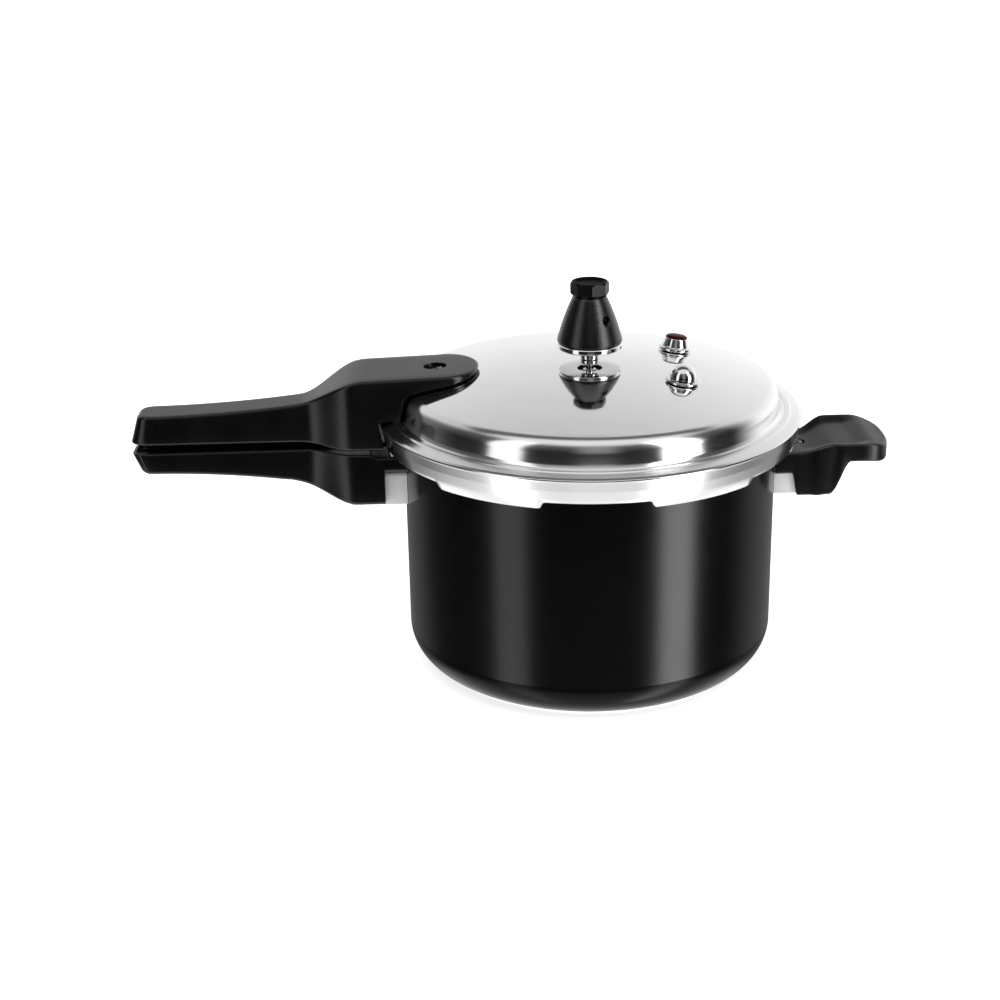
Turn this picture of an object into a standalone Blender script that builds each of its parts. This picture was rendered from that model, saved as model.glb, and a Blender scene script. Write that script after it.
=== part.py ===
"""Stovetop pressure cooker with a bayonet lid.

Frame: base centre at the origin, +Z up. The long handles point towards -X,
the helper handle towards +X. The lid turns about +Z, and its fittings are
placed square to its dome.
"""

import math

import bmesh
import bpy
from mathutils import Matrix, Vector

MM = 0.001

# Driving dimensions.
GAP = 0.3 * MM
MAIN_SEGMENTS = 60
SMALL_SEGMENTS = 20

POT_RADIUS = 102.0 * MM
POT_WALL = 3.0 * MM
POT_FLOOR = 4.0 * MM
POT_CORNER = 20.6 * MM
POT_RIM_Z = 136.7 * MM

LUG_COUNT = 6
LUG_PHASE = -2.5
LID_LUG_WIDTH = 32.0
POT_LUG_WIDTH = 27.0

DOME_TOP_Z = 170.0 * MM
DOME_RADIUS = 398.0 * MM
LID_WALL = 3.0 * MM
SHOULDER_RADIUS = 8.0 * MM
SHOULDER_WALL_RADIUS = 102.9 * MM
FLANGE_Z = 143.0 * MM
LID_RIM_RADIUS = 115.8 * MM
SKIRT_RADIUS = 111.6 * MM
SKIRT_WALL = 2.6 * MM
NOTCH_Z = 128.3 * MM
LUG_BOTTOM_Z = 124.5 * MM
LID_CLEARANCE = 1.2 * MM

BRACKET_HALF_WIDTH = 17.3 * MM
BRACKET_BOTTOM_Z = 94.9 * MM
BRACKET_TOP_Z = 113.2 * MM
BRACKET_SHEET = 2.0 * MM
BRACKET_REACH = 131.0 * MM
BRACKET_BASE_X = 105.0 * MM
BRACKET_RIVET_Y = 8.5 * MM
BRACKET_RIVET_Z = 102.0 * MM
BRACKET_SCREW_X = 115.3 * MM

GRIP_HALF_WIDTH = 11.0 * MM
HEAD_HALF_WIDTH = 23.0 * MM
HANDLE_END_X = -248.0 * MM
HANDLE_INNER_X = -112.5 * MM
LID_HANDLE_TIP_X = -59.6 * MM
LID_HANDLE_SCREW_RADIUS = 82.4 * MM

HELPER_ROOT_HALF_WIDTH = 19.6 * MM
HELPER_HALF_WIDTH = 26.6 * MM
HELPER_END_X = 165.0 * MM

SAFETY_PLUG_RADIUS = 55.2 * MM
SAFETY_PLUG_AZIMUTH = 26.3
RELIEF_VALVE_RADIUS = 57.2 * MM
RELIEF_VALVE_AZIMUTH = -35.6

WEIGHT_BASE_Z = 176.1 * MM
WEIGHT_HOLE_AZIMUTH = -53.5
WEIGHT_HOLE_RISE = 17.5 * MM
SHROUD_STEPS = 5


def clear_scene():
    for existing in list(bpy.data.objects):
        bpy.data.objects.remove(existing, do_unlink=True)


# ---------------------------------------------------------------- materials

def principled(name, colour, roughness, metallic):
    material = bpy.data.materials.new(name)
    material.use_nodes = True
    shader = material.node_tree.nodes["Principled BSDF"]
    shader.inputs["Base Color"].default_value = (*colour, 1.0)
    shader.inputs["Roughness"].default_value = roughness
    shader.inputs["Metallic"].default_value = metallic
    return material


FINISHES = {
    "black_enamel": ((0.012, 0.012, 0.014), 0.18, 0.0),
    "polished_aluminium": ((0.86, 0.86, 0.87), 0.16, 1.0),
    "bare_aluminium": ((0.80, 0.80, 0.81), 0.35, 1.0),
    "bakelite": ((0.016, 0.016, 0.018), 0.38, 0.0),
    "steel": ((0.62, 0.62, 0.63), 0.25, 1.0),
    "rubber": ((0.05, 0.05, 0.055), 0.7, 0.0),
    "red_silicone": ((0.16, 0.012, 0.016), 0.45, 0.0),
}


# ------------------------------------------------------------ mesh builders

def new_object(name, mesh_data, finish=None, matrix=None, parent=None, smooth_angle=35.0):
    """Turn a bmesh into a named object; finish is None for a cutter."""
    bmesh.ops.recalc_face_normals(mesh_data, faces=mesh_data.faces)
    mesh = bpy.data.meshes.new(name)
    mesh_data.to_mesh(mesh)
    mesh_data.free()
    item = bpy.data.objects.new(name, mesh)
    bpy.context.scene.collection.objects.link(item)
    if parent is not None:
        item.parent = parent
    if matrix is not None:
        item.matrix_local = matrix
    if finish is None:
        item.hide_render = True
        item.display_type = "WIRE"
        return item
    mesh.materials.append(principled(name + "_finish", *FINISHES[finish]))
    mesh.shade_smooth()
    mesh.set_sharp_from_angle(angle=math.radians(smooth_angle))
    return item


def add_faces_between(mesh_data, ring_a, ring_b):
    """Join two rings; a ring of one vertex is a pole."""
    count = max(len(ring_a), len(ring_b))
    for index in range(count):
        following = (index + 1) % count
        if len(ring_a) == 1:
            corners = (ring_a[0], ring_b[index], ring_b[following])
        elif len(ring_b) == 1:
            corners = (ring_a[index], ring_b[0], ring_a[following])
        else:
            corners = (ring_a[index], ring_b[index], ring_b[following], ring_a[following])
        mesh_data.faces.new(corners)


def lathe(profile, segments=SMALL_SEGMENTS, phase=0.0):
    """Turn an outline of (radius, height) about Z; it closes on the axis or on itself."""
    mesh_data = bmesh.new()
    rings = []
    for radius, height in profile:
        if radius == 0.0:
            rings.append([mesh_data.verts.new((0.0, 0.0, height))])
            continue
        ring = []
        for index in range(segments):
            angle = 2.0 * math.pi * index / segments + math.radians(phase)
            ring.append(mesh_data.verts.new((radius * math.cos(angle), radius * math.sin(angle), height)))
        rings.append(ring)
    for ring_a, ring_b in zip(rings, rings[1:]):
        if len(ring_a) > 1 or len(ring_b) > 1:
            add_faces_between(mesh_data, ring_a, ring_b)
    if profile[0][0] > 0.0:
        add_faces_between(mesh_data, rings[-1], rings[0])
    return mesh_data


def loft(sections):
    """Skin closed loops of points that all have the same count, with flat caps."""
    mesh_data = bmesh.new()
    rings = [[mesh_data.verts.new(point) for point in section] for section in sections]
    for ring_a, ring_b in zip(rings, rings[1:]):
        add_faces_between(mesh_data, ring_a, ring_b)
    mesh_data.faces.new(rings[0])
    mesh_data.faces.new(list(reversed(rings[-1])))
    return mesh_data


def box(low, high):
    mesh_data = bmesh.new()
    bmesh.ops.create_cube(mesh_data, size=1.0)
    for vertex in mesh_data.verts:
        for axis in range(3):
            fraction = vertex.co[axis] + 0.5
            vertex.co[axis] = low[axis] + fraction * (high[axis] - low[axis])
    return mesh_data


def arc(centre_radius, centre_height, radius, start, end, steps):
    """Points of an arc in an outline, angles in degrees from the outward direction."""
    points = []
    for index in range(steps + 1):
        angle = math.radians(start + (end - start) * index / steps)
        points.append((centre_radius + radius * math.cos(angle), centre_height + radius * math.sin(angle)))
    return points


def modifier_boolean(item, other, operation="DIFFERENCE"):
    modifier = item.modifiers.new(other.name, "BOOLEAN")
    modifier.operation = operation
    modifier.solver = "EXACT"
    modifier.object = other


def cylinder_cutter(name, radius, bottom, top, matrix=None, parent=None, segments=SMALL_SEGMENTS):
    profile = [(0.0, bottom), (radius, bottom), (radius, top), (0.0, top)]
    return new_object(name, lathe(profile, segments), matrix=matrix, parent=parent)


def empty(name, matrix, parent=None):
    item = bpy.data.objects.new(name, None)
    bpy.context.scene.collection.objects.link(item)
    item.parent = parent
    item.matrix_local = matrix
    return item


def along_x(x, y, z, direction=1.0):
    """Local Z laid along +X or -X, with the origin at a point."""
    return Matrix.Translation((x, y, z)) @ Matrix.Rotation(direction * math.pi / 2.0, 4, "Y")


def smooth_step(start, end, x):
    fraction = min(1.0, max(0.0, (x - start) / (end - start)))
    return fraction * fraction * (3.0 - 2.0 * fraction)


def blend(start, end, low, high, x):
    """From value low at x = start to value high at x = end, with level ends."""
    return low + (high - low) * smooth_step(start, end, x)


# --------------------------------------------------------------- dome frames

def dome_height(radius):
    return DOME_TOP_Z - DOME_RADIUS + math.sqrt(DOME_RADIUS ** 2 - radius ** 2)


def dome_frame(radius, azimuth):
    """Frame on the dome's outer face: local Z along its normal, local X outward."""
    tilt = math.asin(radius / DOME_RADIUS)
    turn = Matrix.Rotation(math.radians(azimuth), 4, "Z")
    place = Matrix.Translation((radius, 0.0, dome_height(radius)))
    return turn @ place @ Matrix.Rotation(tilt, 4, "Y")


# ------------------------------------------------------------------ bayonet

def bayonet_gap_cutter(name, inner_radius, outer_radius, bottom, top, lug_width, parent=None):
    """Six ring sectors that clear the space between the lugs."""
    mesh_data = bmesh.new()
    pitch = 360.0 / LUG_COUNT
    half_gap = (pitch - lug_width) / 2.0
    steps = 5
    for lug in range(LUG_COUNT):
        middle = LUG_PHASE + pitch * (lug + 0.5)
        rings = []
        for step in range(steps + 1):
            angle = math.radians(middle - half_gap + 2.0 * half_gap * step / steps)
            direction = Vector((math.cos(angle), math.sin(angle), 0.0))
            corners = [(inner_radius, bottom), (outer_radius, bottom), (outer_radius, top), (inner_radius, top)]
            rings.append([mesh_data.verts.new(direction * radius + Vector((0.0, 0.0, height)))
                          for radius, height in corners])
        for ring_a, ring_b in zip(rings, rings[1:]):
            add_faces_between(mesh_data, ring_a, ring_b)
        mesh_data.faces.new(rings[0])
        mesh_data.faces.new(list(reversed(rings[-1])))
    return new_object(name, mesh_data, parent=parent)


# ---------------------------------------------------------------------- pot

def make_pot_body():
    inner = POT_RADIUS - POT_WALL
    inner_corner = POT_CORNER - POT_WALL
    lug_bottom = 128.2 * MM
    lug_top = 131.2 * MM
    lug_radius = 108.0 * MM
    profile = [(0.0, 0.0)]
    profile += arc(POT_RADIUS - POT_CORNER, POT_CORNER, POT_CORNER, -90.0, 0.0, 6)
    profile += [
        (POT_RADIUS, lug_bottom),
        (lug_radius, lug_bottom),
        (lug_radius, lug_top),
        (POT_RADIUS + 0.5 * MM, lug_top),
        (POT_RADIUS + 2.3 * MM, lug_top + 2.8 * MM),
        (POT_RADIUS + 2.3 * MM, POT_RIM_Z - 0.6 * MM),
        (POT_RADIUS + 1.7 * MM, POT_RIM_Z),
        (inner + 0.5 * MM, POT_RIM_Z),
        (inner, POT_RIM_Z - 0.6 * MM),
    ]
    profile += arc(inner - inner_corner, POT_FLOOR + inner_corner, inner_corner, 0.0, -90.0, 5)
    profile += [(0.0, POT_FLOOR)]
    pot = new_object("pot_body", lathe(profile, MAIN_SEGMENTS), "black_enamel")
    cutter = bayonet_gap_cutter(
        "pot_lug_gaps", POT_RADIUS + 0.4 * MM, lug_radius + 2.0 * MM,
        lug_bottom - 1.0 * MM, lug_top + 0.4 * MM, POT_LUG_WIDTH)
    modifier_boolean(pot, cutter)
    return pot


def wall_clearance_cutter():
    """Keeps brackets and handles off the round pot wall."""
    return cylinder_cutter("pot_wall_clearance", POT_RADIUS + 0.4 * MM, 60.0 * MM, 127.0 * MM,
                           segments=MAIN_SEGMENTS)


def make_bracket(name, side, pot, clearance):
    """Downward-open channel with a base plate against the pot; side is -1 or +1 along X."""
    ends = sorted((side * 98.0 * MM, side * BRACKET_REACH))
    bracket = new_object(
        name,
        box((ends[0], -BRACKET_HALF_WIDTH, BRACKET_BOTTOM_Z), (ends[1], BRACKET_HALF_WIDTH, BRACKET_TOP_Z)),
        "bare_aluminium")
    inside = BRACKET_HALF_WIDTH - BRACKET_SHEET
    channel_ends = sorted((side * BRACKET_BASE_X, side * (BRACKET_REACH + 5.0 * MM)))
    channel = new_object(
        name + "_channel",
        box((channel_ends[0], -inside, BRACKET_BOTTOM_Z - 5.0 * MM),
            (channel_ends[1], inside, BRACKET_TOP_Z - BRACKET_SHEET)))
    modifier_boolean(bracket, clearance)
    modifier_boolean(bracket, channel)
    screw_hole = cylinder_cutter(name + "_screw_hole", 2.4 * MM, 100.0 * MM, 120.0 * MM,
                                 Matrix.Translation((side * BRACKET_SCREW_X, 0.0, 0.0)))
    modifier_boolean(bracket, screw_hole)
    for y in (-BRACKET_RIVET_Y, BRACKET_RIVET_Y):
        label = name + ("_rivet_hole_left" if y < 0.0 else "_rivet_hole_right")
        hole = cylinder_cutter(label, 2.3 * MM, 92.0 * MM, 110.0 * MM,
                               along_x(0.0, y, BRACKET_RIVET_Z, side))
        modifier_boolean(pot, hole)
        modifier_boolean(bracket, hole)
    return bracket


def make_rivet(name, side, y):
    """Domed heads inside the pot and inside the bracket channel, on one shank."""
    shank = 2.0 * MM
    head = 3.6 * MM
    inner_face = POT_RADIUS - POT_WALL - 1.3 * MM
    outer_face = BRACKET_BASE_X + GAP
    profile = [
        (0.0, inner_face - 1.4 * MM),
        (head * 0.75, inner_face - 1.1 * MM),
        (head, inner_face - 0.3 * MM),
        (head, inner_face),
        (shank, inner_face),
        (shank, outer_face),
        (head, outer_face),
        (head, outer_face + 0.4 * MM),
        (head * 0.7, outer_face + 1.4 * MM),
        (0.0, outer_face + 1.8 * MM),
    ]
    return new_object(name, lathe(profile, 12), "steel", along_x(0.0, y, BRACKET_RIVET_Z, side))


def screw_profile(shank_radius, length, head_radius, head_height):
    """Pan-head screw hanging down from the underside of its head at height 0."""
    return [
        (0.0, -length),
        (shank_radius - 0.4 * MM, -length),
        (shank_radius, -length + 0.5 * MM),
        (shank_radius, 0.0),
        (head_radius, 0.0),
        (head_radius, head_height * 0.55),
        (head_radius * 0.82, head_height),
        (0.0, head_height),
    ]


def make_screw(name, matrix, parent=None, length=16.0 * MM, shank=2.1 * MM, head=4.2 * MM, height=2.4 * MM):
    screw = new_object(name, lathe(screw_profile(shank, length, head, height), 16), "steel",
                       matrix, parent)
    slot = new_object(
        name + "_slot",
        box((-head * 2.0, -0.55 * MM, height - 1.1 * MM), (head * 2.0, 0.55 * MM, height + 2.0 * MM)),
        matrix=matrix, parent=parent)
    modifier_boolean(screw, slot)
    return screw


def make_nut(name, across_flats, bore, bottom, top, matrix, parent=None, finish="steel"):
    corner = across_flats / 2.0 / math.cos(math.pi / 6.0)
    chamfer = corner * 0.93
    profile = [(0.0, bottom), (chamfer, bottom), (corner, bottom + 0.6 * MM), (corner, top), (0.0, top)]
    nut = new_object(name, lathe(profile, 6), finish, matrix, parent, smooth_angle=20.0)
    hole = cylinder_cutter(name + "_bore", bore, bottom - 3.0 * MM, top + 3.0 * MM, matrix, parent)
    modifier_boolean(nut, hole)
    return nut


def make_washer(name, bore, radius, bottom, top, matrix, parent=None, finish="rubber"):
    profile = [(bore, bottom), (radius, bottom), (radius, top), (bore, top)]
    return new_object(name, lathe(profile, SMALL_SEGMENTS), finish, matrix, parent)


# ------------------------------------------------------------------ handles

def handle_section(x, half_width, top, bottom, corner, dish=0.0, slant=0.0):
    """Rounded cross-section in the YZ plane at x.

    dish lowers the middle of the top face inside a rim; slant leans the
    section outward towards its bottom, for the end of a handle.
    """
    steps = 2
    reach = half_width - corner
    loop = []
    for side, start in ((1.0, -90.0), (1.0, 0.0)):
        height = bottom + corner if start < 0.0 else top - corner
        for index in range(steps + 1):
            angle = math.radians(start + 90.0 * index / steps)
            loop.append((side * (reach + corner * math.cos(angle)), height + corner * math.sin(angle)))
    rim = min(4.0 * MM, reach * 0.3)
    wall = min(6.0 * MM, reach * 0.45)
    loop.append((half_width - corner - rim, top))
    loop.append((half_width - corner - wall, top - dish))
    mirrored = [(-y, z) for y, z in reversed(loop)]
    full = loop + mirrored
    height = max(top - bottom, 1.0 * MM)
    return [(x - slant * (top - z) / height, y, z) for y, z in full]


def end_round(distance, radius):
    """How far a rounded end has pulled in at a distance from its extreme."""
    if distance >= radius:
        return 0.0
    return radius - math.sqrt(radius ** 2 - (radius - distance) ** 2)


def long_handle_half_width(x):
    width = blend(-128.0 * MM, -152.0 * MM, HEAD_HALF_WIDTH, GRIP_HALF_WIDTH, x)
    return width - end_round(x - HANDLE_END_X, 7.0 * MM)


GRIP_STATIONS = (-248.0, -247.2, -245.5, -243.0, -240.0, -228.0, -212.0, -196.0, -180.0, -168.0)
FLARE_STATIONS = (-160.0, -154.0, -149.0, -144.0, -139.0, -134.0, -129.0, -124.0)


def make_pot_handle(clearance):
    """Lower long handle: grip, flared head over the bracket, ledge up to the pot."""
    def bottom_at(x):
        if x < -167.0 * MM:
            sag = 5.0 * MM * ((x + 240.0 * MM) / (73.0 * MM)) ** 2
            level = 113.0 * MM - (sag if x > -240.0 * MM else 0.0)
        else:
            level = blend(-128.0 * MM, -167.0 * MM, 96.6 * MM, 108.0 * MM, x)
        return level + end_round(x - HANDLE_END_X, 4.5 * MM)

    def top_at(x):
        level = 123.2 * MM + 1.0 * MM * (x + 240.0 * MM) / (128.0 * MM)
        return level - blend(-121.0 * MM, -116.0 * MM, 0.0, 1.4 * MM, x)

    sections = []
    for station in GRIP_STATIONS + FLARE_STATIONS + (-120.0, -116.0, -112.5):
        x = station * MM
        sections.append(handle_section(x, long_handle_half_width(x), top_at(x), bottom_at(x), 1.6 * MM))
    for station in (-112.2, -98.0):
        x = station * MM
        sections.append(handle_section(x, HEAD_HALF_WIDTH, top_at(x), 115.0 * MM, 1.6 * MM))
    handle = new_object("pot_handle", loft(sections), "bakelite")
    pocket = new_object(
        "pot_handle_pocket",
        box((-BRACKET_REACH - GAP, -BRACKET_HALF_WIDTH - GAP, 80.0 * MM),
            (-100.0 * MM, BRACKET_HALF_WIDTH + GAP, BRACKET_TOP_Z + GAP)))
    modifier_boolean(handle, clearance)
    modifier_boolean(handle, pocket)
    cut_screw_seat(handle, -BRACKET_SCREW_X, 119.3 * MM)
    return handle


def cut_screw_seat(handle, x, seat_z):
    """Recess for the screw head and the hole under it."""
    place = Matrix.Translation((x, 0.0, 0.0))
    recess = cylinder_cutter(handle.name + "_screw_recess", 5.0 * MM, seat_z, 150.0 * MM, place)
    hole = cylinder_cutter(handle.name + "_screw_hole", 2.5 * MM, 105.0 * MM, seat_z + 1.0 * MM, place)
    modifier_boolean(handle, recess)
    modifier_boolean(handle, hole)


def helper_top(x):
    level = blend(115.5 * MM, 134.5 * MM, 119.1 * MM, 125.5 * MM, x)
    return level - 3.5 * MM * smooth_step(152.0 * MM, HELPER_END_X, x)


def helper_bottom(x):
    if x < 124.0 * MM:
        return blend(108.8 * MM, 113.6 * MM, 106.9 * MM, 94.6 * MM, x)
    level = blend(125.0 * MM, 140.5 * MM, 94.6 * MM, 115.4 * MM, x)
    return level - blend(148.0 * MM, HELPER_END_X, 0.0, 2.0 * MM, x)


def helper_half_width(x):
    """Narrow root that flares into the paddle, whose end is rounded in plan."""
    flare = blend(119.0 * MM, 137.0 * MM, HELPER_ROOT_HALF_WIDTH, HELPER_HALF_WIDTH, x)
    centre = 139.0 * MM
    if x <= centre:
        return flare
    fraction = (x - centre) / (HELPER_END_X + 0.4 * MM - centre)
    return flare * (1.0 - fraction ** 2.4) ** (1.0 / 2.2)


HELPER_STATIONS = (98.0, 108.5, 110.0, 111.5, 113.0, 114.5, 118.0, 121.0, 124.0, 126.5, 129.0, 131.5,
                   134.0, 136.5, 139.5, 145.0, 150.0, 154.0, 158.0, 161.0, 163.3, 164.7)


def make_helper_handle(clearance):
    """Short paddle with a dished top, on a block that straddles its bracket."""
    sections = []
    for station in HELPER_STATIONS:
        x = station * MM
        dish = 1.6 * MM * smooth_step(119.0 * MM, 131.0 * MM, x) * (1.0 - smooth_step(145.0 * MM, 152.0 * MM, x))
        corner = min(1.8 * MM, helper_half_width(x) * 0.4)
        sections.append(handle_section(x, helper_half_width(x), helper_top(x), helper_bottom(x), corner, dish))
    handle = new_object("helper_handle", loft(sections), "bakelite")
    pocket = new_object(
        "helper_pocket",
        box((90.0 * MM, -BRACKET_HALF_WIDTH - GAP, 80.0 * MM),
            (BRACKET_REACH + GAP, BRACKET_HALF_WIDTH + GAP, BRACKET_TOP_Z + GAP)))
    modifier_boolean(handle, clearance)
    modifier_boolean(handle, pocket)
    cut_screw_seat(handle, BRACKET_SCREW_X, 116.6 * MM)
    return handle


def shoulder_centre():
    """Centre of the shoulder arc, tangent to the dome and to the upright wall."""
    centre_radius = SHOULDER_WALL_RADIUS - SHOULDER_RADIUS
    reach = DOME_RADIUS - SHOULDER_RADIUS
    centre_z = DOME_TOP_Z - DOME_RADIUS + math.sqrt(reach ** 2 - centre_radius ** 2)
    tangent_angle = math.degrees(math.acos(centre_radius / reach))
    return centre_radius, centre_z, tangent_angle


def dome_outline(offset, start_radius, steps, arc_steps):
    """Outline of the dome and shoulder, offset outward, from the middle to the wall."""
    centre_radius, centre_z, tangent_angle = shoulder_centre()
    radius = DOME_RADIUS + offset
    top = math.degrees(math.acos(start_radius / radius))
    points = arc(0.0, DOME_TOP_Z - DOME_RADIUS, radius, top, tangent_angle, steps)
    points += arc(centre_radius, centre_z, SHOULDER_RADIUS + offset, tangent_angle, 0.0, arc_steps)[1:]
    return points


def make_lid_handle(lid_axis):
    """Upper long handle: its head follows the lid's dome, shoulder and flange."""
    def top_at(x):
        if x > -124.0 * MM:
            return 168.4 * MM + 2.3 * MM * (x + 60.0 * MM) / (64.0 * MM)
        grip = 145.5 * MM + 4.9 * MM * (max(0.0, x + 245.0 * MM) / (85.0 * MM)) ** 2
        return blend(-124.0 * MM, -158.0 * MM, 166.1 * MM, grip, x)

    def bottom_at(x):
        return blend(-138.0 * MM, -160.0 * MM, 128.6 * MM, 130.2 * MM, x)

    def half_width_at(x):
        centre = -79.0 * MM
        if x <= centre:
            return long_handle_half_width(x)
        fraction = (x - centre) / (LID_HANDLE_TIP_X + 0.3 * MM - centre)
        return HEAD_HALF_WIDTH * math.sqrt(1.0 - fraction ** 2)

    sections = []
    stations = GRIP_STATIONS + FLARE_STATIONS
    stations += (-117.0, -108.0, -100.0, -90.0, -79.0, -74.0, -69.5, -66.0, -63.3, -61.2, -60.0)
    for station in stations:
        x = station * MM
        half_width = half_width_at(x)
        slant = 5.0 * MM * (1.0 - smooth_step(-248.0 * MM, -236.0 * MM, x))
        section = handle_section(x + slant, half_width, top_at(x), bottom_at(x),
                                 min(1.6 * MM, half_width * 0.4), slant=slant)
        sections.append(section)
    handle = new_object("lid_handle", loft(sections), "bakelite", parent=lid_axis)
    profile = [(0.0, 110.0 * MM), (117.0 * MM, 110.0 * MM), (117.0 * MM, FLANGE_Z + 2.4 * MM),
               (SHOULDER_WALL_RADIUS + 2.4 * MM, FLANGE_Z + 2.4 * MM)]
    profile += reversed(dome_outline(LID_CLEARANCE, 20.0 * MM, 5, 4))
    profile += [(0.0, DOME_TOP_Z + LID_CLEARANCE)]
    lid_space = new_object("lid_handle_lid_space", lathe(profile, MAIN_SEGMENTS), parent=lid_axis)
    modifier_boolean(handle, lid_space)
    frame = dome_frame(LID_HANDLE_SCREW_RADIUS, 180.0)
    recess = cylinder_cutter("lid_handle_screw_recess", 5.0 * MM, 3.5 * MM, 14.0 * MM, frame, lid_axis)
    hole = cylinder_cutter("lid_handle_screw_hole", 2.6 * MM, -2.0 * MM, 5.0 * MM, frame, lid_axis)
    modifier_boolean(handle, recess)
    modifier_boolean(handle, hole)
    return handle


# ---------------------------------------------------------------------- lid

def make_lid_shell(lid_axis):
    vent_hole = 3.7 * MM
    inner_skirt = SKIRT_RADIUS - SKIRT_WALL
    underside = FLANGE_Z - 2.7 * MM
    lug_inner = 105.2 * MM
    lug_top = LUG_BOTTOM_Z + 3.2 * MM
    outer = dome_outline(0.0, vent_hole, 7, 4)
    outer += [
        (SHOULDER_WALL_RADIUS + 0.7 * MM, FLANGE_Z + 2.0 * MM),
        (SHOULDER_WALL_RADIUS + 2.3 * MM, FLANGE_Z),
        (LID_RIM_RADIUS - 1.2 * MM, FLANGE_Z),
        (LID_RIM_RADIUS, FLANGE_Z - 1.1 * MM),
        (LID_RIM_RADIUS - 0.6 * MM, FLANGE_Z - 2.6 * MM),
        (SKIRT_RADIUS, LUG_BOTTOM_Z),
    ]
    lug = [(lug_inner, LUG_BOTTOM_Z), (lug_inner, lug_top), (inner_skirt, lug_top)]
    inner = [(inner_skirt + 3.2 * MM, underside), (SHOULDER_WALL_RADIUS - LID_WALL, underside)]
    inner += reversed(dome_outline(-LID_WALL, vent_hole, 5, 3))
    lid = new_object("lid_shell", lathe(outer + lug + inner, MAIN_SEGMENTS), "polished_aluminium",
                     parent=lid_axis)
    gaps = bayonet_gap_cutter("lid_lug_gaps", lug_inner - 2.0 * MM, LID_RIM_RADIUS + 4.0 * MM,
                              LUG_BOTTOM_Z - 4.0 * MM, NOTCH_Z, LID_LUG_WIDTH, lid_axis)
    modifier_boolean(lid, gaps)
    for name, radius, azimuth, hole in (
            ("safety_plug_lid_hole", SAFETY_PLUG_RADIUS, SAFETY_PLUG_AZIMUTH, 5.1 * MM),
            ("relief_valve_lid_hole", RELIEF_VALVE_RADIUS, RELIEF_VALVE_AZIMUTH, 5.1 * MM),
            ("handle_screw_lid_hole", LID_HANDLE_SCREW_RADIUS, 180.0, 2.6 * MM)):
        cutter = cylinder_cutter(name, hole, -8.0 * MM, 6.0 * MM, dome_frame(radius, azimuth), lid_axis)
        modifier_boolean(lid, cutter)
    return lid


def make_gasket(lid_axis):
    bottom = POT_RIM_Z + GAP
    top = FLANGE_Z - 2.7 * MM - GAP
    inner = 98.8 * MM
    outer = 108.6 * MM
    soft = 0.8 * MM
    profile = [
        (inner + soft, bottom), (outer - soft, bottom), (outer, bottom + soft), (outer, top - soft),
        (outer - soft, top), (inner + soft, top), (inner, top - soft), (inner, bottom + soft),
    ]
    return new_object("lid_gasket", lathe(profile, MAIN_SEGMENTS), "rubber", parent=lid_axis)


def make_lid_handle_fasteners(lid_axis):
    """Screw through the handle and the lid, sealed by a washer and a nut inside."""
    frame = dome_frame(LID_HANDLE_SCREW_RADIUS, 180.0)
    seat = frame @ Matrix.Translation((0.0, 0.0, 3.5 * MM + GAP))
    make_screw("lid_handle_screw", seat, lid_axis, length=14.0 * MM)
    make_washer("lid_handle_washer", 2.5 * MM, 6.0 * MM, -LID_WALL - 1.8 * MM, -LID_WALL - 0.4 * MM,
                frame, lid_axis)
    make_nut("lid_handle_nut", 8.0 * MM, 2.45 * MM, -LID_WALL - 6.2 * MM, -LID_WALL - 2.1 * MM,
             frame, lid_axis)


def make_vent_pipe(lid_axis):
    """Hollow steam pipe: thread through the lid, flange on it, neck, then collar and nose in the weight."""
    bore = 1.4 * MM
    thread = 3.3 * MM
    neck = 2.3 * MM
    top = DOME_TOP_Z
    profile = [
        (bore, top - 12.0 * MM),
        (thread, top - 12.0 * MM),
        (thread, top + GAP),
        (5.0 * MM, top + GAP),
        (5.2 * MM, top + 0.6 * MM),
        (5.2 * MM, top + 2.1 * MM),
        (4.8 * MM, top + 2.4 * MM),
        (neck, top + 2.6 * MM),
        (neck, top + 6.6 * MM),
        (3.8 * MM, top + 7.2 * MM),
        (3.8 * MM, top + 11.0 * MM),
        (thread, top + 12.0 * MM),
        (thread, top + 20.2 * MM),
        (2.2 * MM, top + 22.3 * MM),
        (bore, top + 22.3 * MM),
    ]
    new_object("vent_pipe", lathe(profile, SMALL_SEGMENTS), "steel", parent=lid_axis)
    under = Matrix.Translation((0.0, 0.0, top - LID_WALL))
    make_washer("vent_pipe_washer", 3.6 * MM, 7.0 * MM, -1.7 * MM, -GAP, under, lid_axis)
    make_nut("vent_pipe_nut", 11.0 * MM, 3.6 * MM, -6.2 * MM, -1.7 * MM - GAP, under, lid_axis)


def make_safety_plug_housing(lid_axis, frame):
    """Bright ferrule whose bore holds the plug."""
    profile = [
        (3.2 * MM, -9.5 * MM),
        (4.7 * MM, -9.5 * MM),
        (4.7 * MM, 0.4 * MM),
        (8.3 * MM, 0.4 * MM),
        (8.7 * MM, 0.8 * MM),
        (8.7 * MM, 1.3 * MM),
        (8.2 * MM, 1.8 * MM),
        (7.2 * MM, 2.1 * MM),
        (6.9 * MM, 3.2 * MM),
        (5.7 * MM, 7.2 * MM),
        (3.2 * MM, 7.2 * MM),
    ]
    new_object("safety_plug_housing", lathe(profile, 24), "steel", frame, lid_axis)
    make_nut("safety_plug_nut", 14.0 * MM, 5.0 * MM, -LID_WALL - 4.6 * MM, -LID_WALL - 0.4 * MM,
             frame, lid_axis)


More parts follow.
